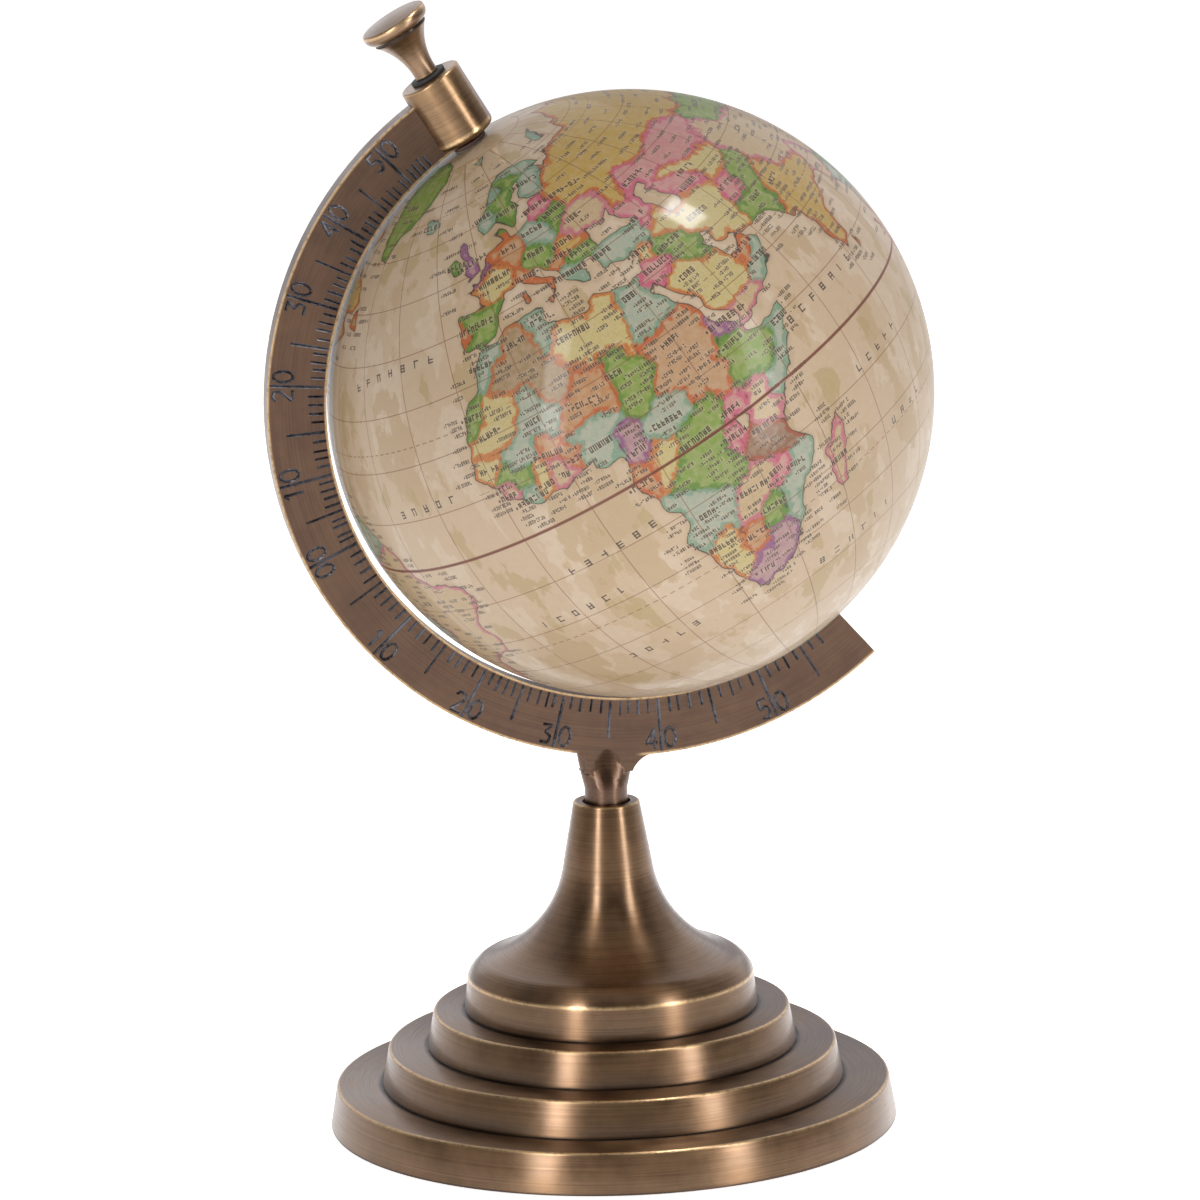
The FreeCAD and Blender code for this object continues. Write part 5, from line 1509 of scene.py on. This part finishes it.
    def labels(self) -> list[Label]:
        """Lay out the lettering by seeded chance, on land, along the coasts and at sea.

        Returns:
            The lines of lettering.
        """
        chance = random.Random(19)
        found: list[Label] = []
        places = np.zeros((self.most_labels, 3))
        halves = np.zeros(self.most_labels)
        for _, seeds in COUNTRIES:
            lon, lat = seeds[0]
            letters = chance.randint(4, 8)
            places[len(found)], halves[len(found)] = unit(lon, lat), letters * 0.58 + 0.5
            found.append(Label(lon, lat, 1.55, 1.15, letters, len(found) + 1, chance.uniform(-0.12, 0.12)))
        spots = []
        for _ in range(self.tries):
            lat = math.degrees(math.asin(chance.uniform(-0.9, 0.96)))
            spots.append((chance.uniform(-180.0, 180.0), round(lat / self.line_step) * self.line_step))
        shores = self.shore(np.array([unit(*spot) for spot in spots]))
        for (lon, lat), shore in zip(spots, shores):
            letters = chance.randint(4, 8)
            wide = letters * 0.33 + 0.5
            if len(found) >= self.most_labels or not (shore > 0.4 or -4.6 < shore < -wide * 0.4):
                continue
            here, count = unit(lon, lat), len(found)
            offset = (places[:count] - here) * BALL_RADIUS
            beside = np.hypot(offset[:, 0], offset[:, 1]) < wide + halves[:count]
            if np.any(beside & (np.abs(offset[:, 2]) < 1.3)):
                continue
            places[count], halves[count] = here, wide
            found.append(Label(lon, lat, 1.0, 0.66, letters, count + 1))
        for lon, lat, letters in ((-26.0, 12.0, 8), (-15.0, -18.0, 5), (-30.0, 38.0, 8), (62.0, 8.0, 6),
                                  (75.0, -22.0, 6), (-5.0, -34.0, 5), (50.0, -38.0, 7), (-140.0, 20.0, 7),
                                  (-130.0, -20.0, 5), (160.0, 25.0, 7), (68.0, -8.0, 5), (0.0, -9.0, 6)):
            found.append(Label(lon, lat, 2.0, 4.8, letters, OCEAN_NAMES + len(found),
                               chance.uniform(-0.1, 0.1)))
        return found

    def lettering(self, centres: np.ndarray, corners: np.ndarray, face_of_corner: np.ndarray) -> np.ndarray:
        """Return the lettering coordinates of every face corner.

        Args:
            centres: Unit vector to the middle of each face.
            corners: Unit vector to each face corner.
            face_of_corner: Face that each corner belongs to.

        Returns:
            A row for each corner: the letter along the line, plus LABEL_PITCH for each label, and the height
            in the line.
        """
        labels = self.labels()
        chosen = np.full(len(centres), -1)
        frames = []
        for index, label in enumerate(labels):
            middle = unit(label.lon, label.lat)
            east = np.array((-middle[1], middle[0], 0.0))
            east /= np.linalg.norm(east)
            north = np.cross(middle, east)
            turn = (math.cos(label.slope), math.sin(label.slope))
            along, up = east * turn[0] + north * turn[1], north * turn[0] - east * turn[1]
            half = label.letters * label.advance / 2.0
            frames.append((middle, along, up, half, label))
            near = np.nonzero(centres @ middle > math.cos((half + 3.0) / BALL_RADIUS))[0]
            offset = (centres[near] - middle) * BALL_RADIUS
            box = (np.abs(offset @ along) < half + 0.8) & (np.abs(offset @ up) < label.height / 2.0 + 0.42)
            chosen[near[box]] = index
        result = np.zeros((len(corners), 2))
        result[:, 1] = 10.0
        label_of_corner = chosen[face_of_corner]
        for index, (middle, along, up, half, label) in enumerate(frames):
            rows = np.nonzero(label_of_corner == index)[0]
            offset = (corners[rows] - middle) * BALL_RADIUS
            start = LABEL_PITCH * label.number + LABEL_START
            result[rows, 0] = start + (offset @ along + half) / label.advance
            result[rows, 1] = (offset @ up) / label.height + 0.5
        return result


@dataclass(frozen=True)
class MapPrint:
    """The printed and varnished surface of the ball."""

    axis: BallAxis
    sea: Colour = srgb(214, 188, 158)
    sea_light: Colour = srgb(222, 199, 173)
    sea_dark: Colour = srgb(200, 172, 134)
    sea_olive: Colour = srgb(190, 165, 118)
    varnish: Colour = (0.56, 0.56, 0.55, 1.0)
    ink: Colour = srgb(62, 46, 40)
    grid_ink: Colour = srgb(134, 88, 66)
    equator_ink: Colour = srgb(132, 70, 52)
    land_specks: Colour = srgb(150, 118, 84)
    coast_haze: Colour = srgb(176, 150, 118)
    paper_grain: Colour = srgb(120, 84, 60)
    tropic: float = 23.44
    polar_circle: float = 66.56

    def grid(self, shader: Shader, lon: Source, lat: Source) -> tuple[Source, Source]:
        """Return the masks of the thin grid and of the equator.

        Args:
            shader: Node tree to add to.
            lon: Longitude of the shaded point in degrees.
            lat: Latitude of the shaded point in degrees.

        Returns:
            The mask of the thin lines and dashes, and the mask of the thick equator line.
        """
        degree = BALL_RADIUS * math.pi / 180.0
        narrow = shader.math("COSINE", shader.math("RADIANS", lat))

        def gap(value: Source, every: float) -> Source:
            """Return how far a number of degrees is from the nearest multiple."""
            wrapped = shader.math("FLOORED_MODULO", shader.math("ADD", value, every / 2.0), every)
            return shader.math("ABSOLUTE", shader.math("SUBTRACT", wrapped, every / 2.0))

        across = shader.math("MULTIPLY", gap(lat, 10.0), degree)
        along = shader.math("MULTIPLY", shader.math("MULTIPLY", gap(lon, 15.0), degree), narrow)
        along = shader.math("ADD", along, shader.rise(shader.math("ABSOLUTE", lat), 80.0, 80.3, 0.0, 5.0))
        thin = shader.math("MAXIMUM", shader.line(across, 0.10, 0.08), shader.line(along, 0.10, 0.08))
        tropic, polar = (
            shader.math("ABSOLUTE", shader.math("SUBTRACT", shader.math("ABSOLUTE", lat), circle))
            for circle in (self.tropic, self.polar_circle))
        dashed = shader.math("MULTIPLY", shader.math("MINIMUM", tropic, polar), degree)
        dashed = shader.line(dashed, 0.12, 0.08)
        dash = shader.rise(shader.math("ABSOLUTE", shader.math("SUBTRACT", shader.math(
            "FLOORED_MODULO", lon, 2.0), 1.0)), 0.55, 0.65, 1.0, 0.0)
        thin = shader.math("MAXIMUM", thin, shader.math("MULTIPLY", dashed, dash))
        thick = shader.line(shader.math("MULTIPLY", shader.math("ABSOLUTE", lat), degree), 0.36, 0.1)
        return thin, thick

    def letters(self, shader: Shader) -> tuple[Source, Source]:
        """Draw the small lettering.

        Args:
            shader: Node tree to add to.

        Returns:
            The mask of the letters, and the mask of the pale ground that they are printed on.
        """
        uv = shader.node("ShaderNodeUVMap", uv_map="lettering").outputs[0]
        split = shader.node("ShaderNodeSeparateXYZ")
        shader.feed(split.inputs[0], uv)
        u, v = split.outputs[0], split.outputs[1]
        label = shader.math("FLOOR", shader.math("DIVIDE", u, LABEL_PITCH))
        start = shader.math("ADD", shader.math("MULTIPLY", label, LABEL_PITCH), LABEL_START)
        place = shader.math("SUBTRACT", u, start)
        count = shader.math("ADD", shader.math("FLOORED_MODULO", label, 5.0), 4.0)
        cell = shader.math("FLOOR", place)
        ocean = shader.math("GREATER_THAN", label, float(OCEAN_NAMES))
        x = shader.math("DIVIDE", shader.math("SUBTRACT", place, cell),
                        shader.rise(ocean, 0.0, 1.0, 0.74, 0.32))
        weight = shader.rise(ocean, 0.0, 1.0, 1.0, 0.55)
        key = shader.math("ADD", shader.math("MULTIPLY", label, 17.0), cell)
        in_line = shader.math("MULTIPLY", shader.math("GREATER_THAN", place, 0.0),
                              shader.math("LESS_THAN", place, count))
        in_line = shader.math("MULTIPLY", in_line, shader.math("LESS_THAN", x, 1.0))
        in_line = shader.math("MULTIPLY", in_line, shader.math("LESS_THAN", shader.math(
            "ABSOLUTE", shader.math("SUBTRACT", v, 0.5)), 0.5))

        def chance(number: float) -> Source:
            """Draw a seeded number for this letter.

            Args:
                number: Which of the letter's numbers it is.

            Returns:
                A number from 0 to 1.
            """
            node = shader.node("ShaderNodeTexWhiteNoise", noise_dimensions="2D")
            shader.feed(node.inputs["Vector"], shader.combined(shader.math("ADD", key, 0.5), number, 0.0))
            return node.outputs["Value"]

        def stroke(value: Source, at: float, half: float, share: float, number: float) -> Source:
            """Draw a stroke that only some letters have.

            Args:
                value: Coordinate across the stroke.
                at: Where its middle lies.
                half: Half its width.
                share: Share of the letters that have it.
                number: Which of the letter's seeded numbers decides.

            Returns:
                The mask of the stroke.
            """
            gap = shader.math("ABSOLUTE", shader.math("SUBTRACT", value, at))
            wide = shader.math("MULTIPLY", weight, half)
            drawn = shader.rise(gap, wide, shader.math("ADD", wide, 0.05), 1.0, 0.0)
            return shader.math("MULTIPLY", drawn, shader.math("LESS_THAN", chance(number), share))

        marks = stroke(x, 0.16, 0.17, 0.8, 1.0)
        for extra in (stroke(x, 0.82, 0.17, 0.5, 2.0), stroke(v, 0.88, 0.12, 0.5, 3.0),
                      stroke(v, 0.5, 0.12, 0.55, 4.0), stroke(v, 0.12, 0.12, 0.5, 5.0)):
            marks = shader.math("MAXIMUM", marks, extra)
        marks = shader.math("MULTIPLY", marks, in_line)
        spot = shader.vector("DISTANCE", shader.combined(place, v, 0.0), (-0.7, 0.4, 0.0))
        dots = shader.math("MULTIPLY", shader.line(spot, 0.22, 0.08), shader.math("LESS_THAN", v, 5.0))
        dots = shader.math("MULTIPLY", dots, shader.math("SUBTRACT", 1.0, ocean))
        ground = shader.math("MULTIPLY", shader.math("GREATER_THAN", place, -0.3), shader.math(
            "LESS_THAN", place, shader.math("ADD", count, 0.2)))
        ground = shader.math("MULTIPLY", ground, shader.line(shader.math(
            "ABSOLUTE", shader.math("SUBTRACT", v, 0.5)), 0.5, 0.35))
        return shader.math("MAXIMUM", marks, dots), ground

    def build(self) -> bpy.types.Material:
        """Make the printed surface.

        Returns:
            The material.
        """
        shader = Shader("printed_map")
        local = self.axis.place().to_3x3()
        offset = shader.vector("SUBTRACT", shader.place, tuple(self.axis.centre * MM))
        offset = shader.scaled(offset, 1.0 / MM)
        x, y, z = (shader.vector("DOT_PRODUCT", offset, tuple(local.col[k])) for k in range(3))
        lon = shader.math("ADD", shader.math("DEGREES", shader.math("ARCTAN2", y, x)), EAST)
        lat = shader.math("DEGREES", shader.math("ARCSINE", shader.math(
            "DIVIDE", z, shader.vector("LENGTH", offset))))
        long_place = shader.combined(x, y, shader.math("MULTIPLY", z, 0.45))
        mottle = shader.noise(long_place, 0.085, 4.0, 0.55)
        second = shader.noise(shader.vector("ADD", long_place, (31.0, 7.0, 11.0)), 0.06, 5.0, 0.6)
        watery = shader.noise(offset, 0.55, 4.0, 0.6)
        paper = shader.noise(offset, 3.5, 2.0, 0.6)
        sea = shader.mix(shader.rise(mottle, 0.545, 0.57), self.sea, self.sea_light)
        sea = shader.mix(shader.rise(second, 0.55, 0.575, 0.0, 0.8), sea, self.sea_dark)
        sea = shader.mix(shader.rise(mottle, 0.41, 0.385, 0.0, 0.75), sea, self.sea_olive)
        sea = shader.mix(shader.rise(watery, 0.3, 0.75, 0.0, 0.25), sea, self.sea_dark)
        shore = shader.attribute("shore")
        border = shader.attribute("border")
        inner = shader.math("MINIMUM", shore, border)
        depth = shader.math("ADD", inner, shader.rise(watery, 0.3, 0.7, -0.45, 0.45))
        edge = shader.math("MULTIPLY", shader.rise(depth, 0.7, 1.4, 1.0, 0.0),
                           shader.rise(paper, 0.3, 0.65, 0.7, 1.0))
        fill = shader.mix(shader.rise(watery, 0.35, 0.7, 0.0, 0.25), shader.attribute("fill", "Color"),
                          self.sea_light)
        speckle = shader.noise(offset, 2.2, 3.0, 0.7)
        fill = shader.mix(shader.rise(speckle, 0.45, 0.7, 0.0, 0.35), fill, self.land_specks)
        land = shader.mix(edge, fill, shader.attribute("edge", "Color"))
        land = shader.mix(shader.math("MULTIPLY", shader.line(border, 0.10, 0.14), 0.6), land, self.ink)
        colour = shader.mix(shader.rise(shore, -0.05, 0.05), sea, land)
        coast = shader.line(shader.math("ABSOLUTE", shore), 0.09, 0.12)
        colour = shader.mix(shader.math("MULTIPLY", coast, 0.85), colour, self.ink)
        haze = shader.math("MULTIPLY", shader.rise(shore, -1.5, -0.1),
                           shader.rise(shore, -0.1, 0.0, 1.0, 0.0))
        colour = shader.mix(shader.math("MULTIPLY", haze, 0.35), colour, self.coast_haze)
        thin, thick = self.grid(shader, lon, lat)
        colour = shader.mix(shader.math("MULTIPLY", thin, 0.62), colour, self.grid_ink)
        marks, ground = self.letters(shader)
        colour = shader.mix(shader.math("MULTIPLY", ground, 0.22), colour, self.sea_light)
        colour = shader.mix(shader.math("MULTIPLY", marks, 0.88), colour, self.ink)
        colour = shader.mix(shader.math("MULTIPLY", thick, 0.85), colour, self.equator_ink)
        colour = shader.mix(shader.rise(paper, 0.3, 0.8, 0.0, 0.10), colour, self.paper_grain)
        colour = shader.mix(1.0, colour, self.varnish, "MULTIPLY")
        shader.set(Base_Color=colour, Roughness=0.5, Specular_IOR_Level=0.3, Coat_Weight=0.32,
                   Coat_Roughness=0.1, Coat_IOR=1.4)
        shader.bump(watery, 0.08, 0.03 * MM)
        return shader.material


# Ball -----------------------------------------------------------------------------------------------------

@dataclass
class Ball:
    """The two moulded shells with the map on them, and the parts hidden inside. Sizes are in millimetres."""

    axis: BallAxis
    steps: int = 560
    rows: int = 150
    wall: float = 2.2
    hole: float = 4.5
    seam_round: float = 0.14
    inner_rows: int = 12
    skin_depth: float = 0.25

    def shell(self, name: str, node: str, side: int, printed: PrintedMap, skin: bpy.types.Material,
              plastic: bpy.types.Material) -> None:
        """Build one shell.

        Args:
            name: Name of the piece.
            node: CAD node that it stands for.
            side: 1 for the northern shell and -1 for the southern one.
            printed: Map that gives the fields.
            skin: Printed surface.
            plastic: Bare plastic inside.
        """
        inner = BALL_RADIUS - self.wall
        top = math.acos(self.hole / BALL_RADIUS)
        inner_top = math.acos(self.hole / inner)
        profile = [Corner(BALL_RADIUS, 0.0, self.seam_round)]
        outside = (top * k / self.rows for k in range(1, self.rows + 1))
        profile += [Corner(BALL_RADIUS * math.cos(a), BALL_RADIUS * math.sin(a)) for a in outside]
        inside = (inner_top * k / self.inner_rows for k in range(self.inner_rows, -1, -1))
        profile += [Corner(inner * math.cos(a), inner * math.sin(a)) for a in inside]
        profile = [Corner(corner.radius, corner.height * side, corner.round) for corner in profile]
        piece = finished(turned_mesh(profile, self.steps, 2), name, self.axis.place(), 32.0)
        self.print_map(piece, printed)
        dress(piece, skin, plastic)
        for face in piece.data.polygons:
            far = (face.center / MM - self.axis.centre).length
            face.material_index = 0 if far > BALL_RADIUS - self.skin_depth else 1
        place_piece(piece, "ball", "printed_map", node)

    def print_map(self, piece: bpy.types.Object, printed: PrintedMap) -> None:
        """Put the map's fields and the lettering coordinates on a shell.

        Args:
            piece: The shell.
            printed: Map that gives the fields.
        """
        data = piece.data
        turn = np.array(self.axis.place().to_3x3())
        places = np.empty(len(data.vertices) * 3)
        data.vertices.foreach_get("co", places)
        points = (places.reshape(-1, 3) / MM - np.array(self.axis.centre)) @ turn
        points /= np.linalg.norm(points, axis=1)[:, None]
        owner, border = printed.country(points)
        fields = {"shore": printed.shore(points), "border": border}
        for name, values in fields.items():
            data.attributes.new(name, "FLOAT", "POINT").data.foreach_set("value", values)
        for name, index in (("fill", 0), ("edge", 1)):
            palette = np.array([tint.value[index] for tint, _ in COUNTRIES])
            tints = data.attributes.new(name, "FLOAT_COLOR", "POINT")
            tints.data.foreach_set("color", palette[owner].ravel())
        starts = np.empty(len(data.polygons), dtype=int)
        totals = np.empty(len(data.polygons), dtype=int)
        vertex_of_corner = np.empty(len(data.loops), dtype=int)
        centres = np.empty(len(data.polygons) * 3)
        data.polygons.foreach_get("loop_start", starts)
        data.polygons.foreach_get("loop_total", totals)
        data.polygons.foreach_get("center", centres)
        data.loops.foreach_get("vertex_index", vertex_of_corner)
        centres = (centres.reshape(-1, 3) / MM - np.array(self.axis.centre)) @ turn
        centres /= np.linalg.norm(centres, axis=1)[:, None]
        face_of_corner = np.repeat(np.arange(len(totals)), totals)
        uv = printed.lettering(centres, points[vertex_of_corner], face_of_corner)
        data.uv_layers.new(name="lettering").data.foreach_set("uv", uv.ravel())

    def build(self) -> None:
        """Build both shells."""
        printed = PrintedMap()
        skin = MapPrint(self.axis).build()
        plastic = PlainFinish("shell_plastic", srgb(206, 200, 188), srgb(186, 180, 168), 0.5, 0.8, 0.02)
        plastic = plastic.build()
        self.shell("north_half", "northern_shell", 1, printed, skin, plastic)
        self.shell("south_half", "southern_shell", -1, printed, skin, plastic)


# Hidden parts ---------------------------------------------------------------------------------------------

class Hidden(Enum):
    """Finish of the CAD parts that stay as they are: the light and dark tone, roughness, grain and metal."""

    STEEL = ("bright_steel", srgb(196, 198, 202), srgb(160, 162, 168), 0.3, 1.2, 0.01, 1.0)
    NYLON = ("white_nylon", srgb(228, 226, 216), srgb(210, 206, 194), 0.45, 1.0, 0.02, 0.0)
    FIBRE = ("red_fibre", srgb(92, 58, 46), srgb(66, 42, 34), 0.65, 2.0, 0.03, 0.0)
    PLASTIC = ("ring_plastic", srgb(206, 200, 188), srgb(186, 180, 168), 0.5, 0.8, 0.02, 0.0)


HIDDEN_PARTS: tuple[tuple[Hidden, tuple[str, ...]], ...] = (
    (Hidden.STEEL, ("column_washer", "tie_stud", "spring_washer", "stud_nut", "south_pin")),
    (Hidden.NYLON, ("north_bush", "south_bush")),
    (Hidden.FIBRE, ("north_washer", "south_washer")),
    (Hidden.PLASTIC, ("seam_ring",)),
)


def dress_hidden_parts() -> None:
    """Give every CAD part that stays its own finish."""
    for finish, nodes in HIDDEN_PARTS:
        material = PlainFinish(*finish.value[:6], metal=finish.value[6]).build()
        for node in nodes:
            dress(frame["nodes"][node], material)
            LOG.info("%s dressed in %s", node, finish.value[0])


def main() -> None:
    """Build the studio and the globe."""
    logging.basicConfig(level=logging.INFO, format="%(name)s: %(message)s")
    Studio().build()
    axis = BallAxis()
    Stand().build()
    MeridianArm(axis).build()
    Ball(axis).build()
    AxisScrew(axis).build()
    dress_hidden_parts()


if __name__ == "__main__":
    main()
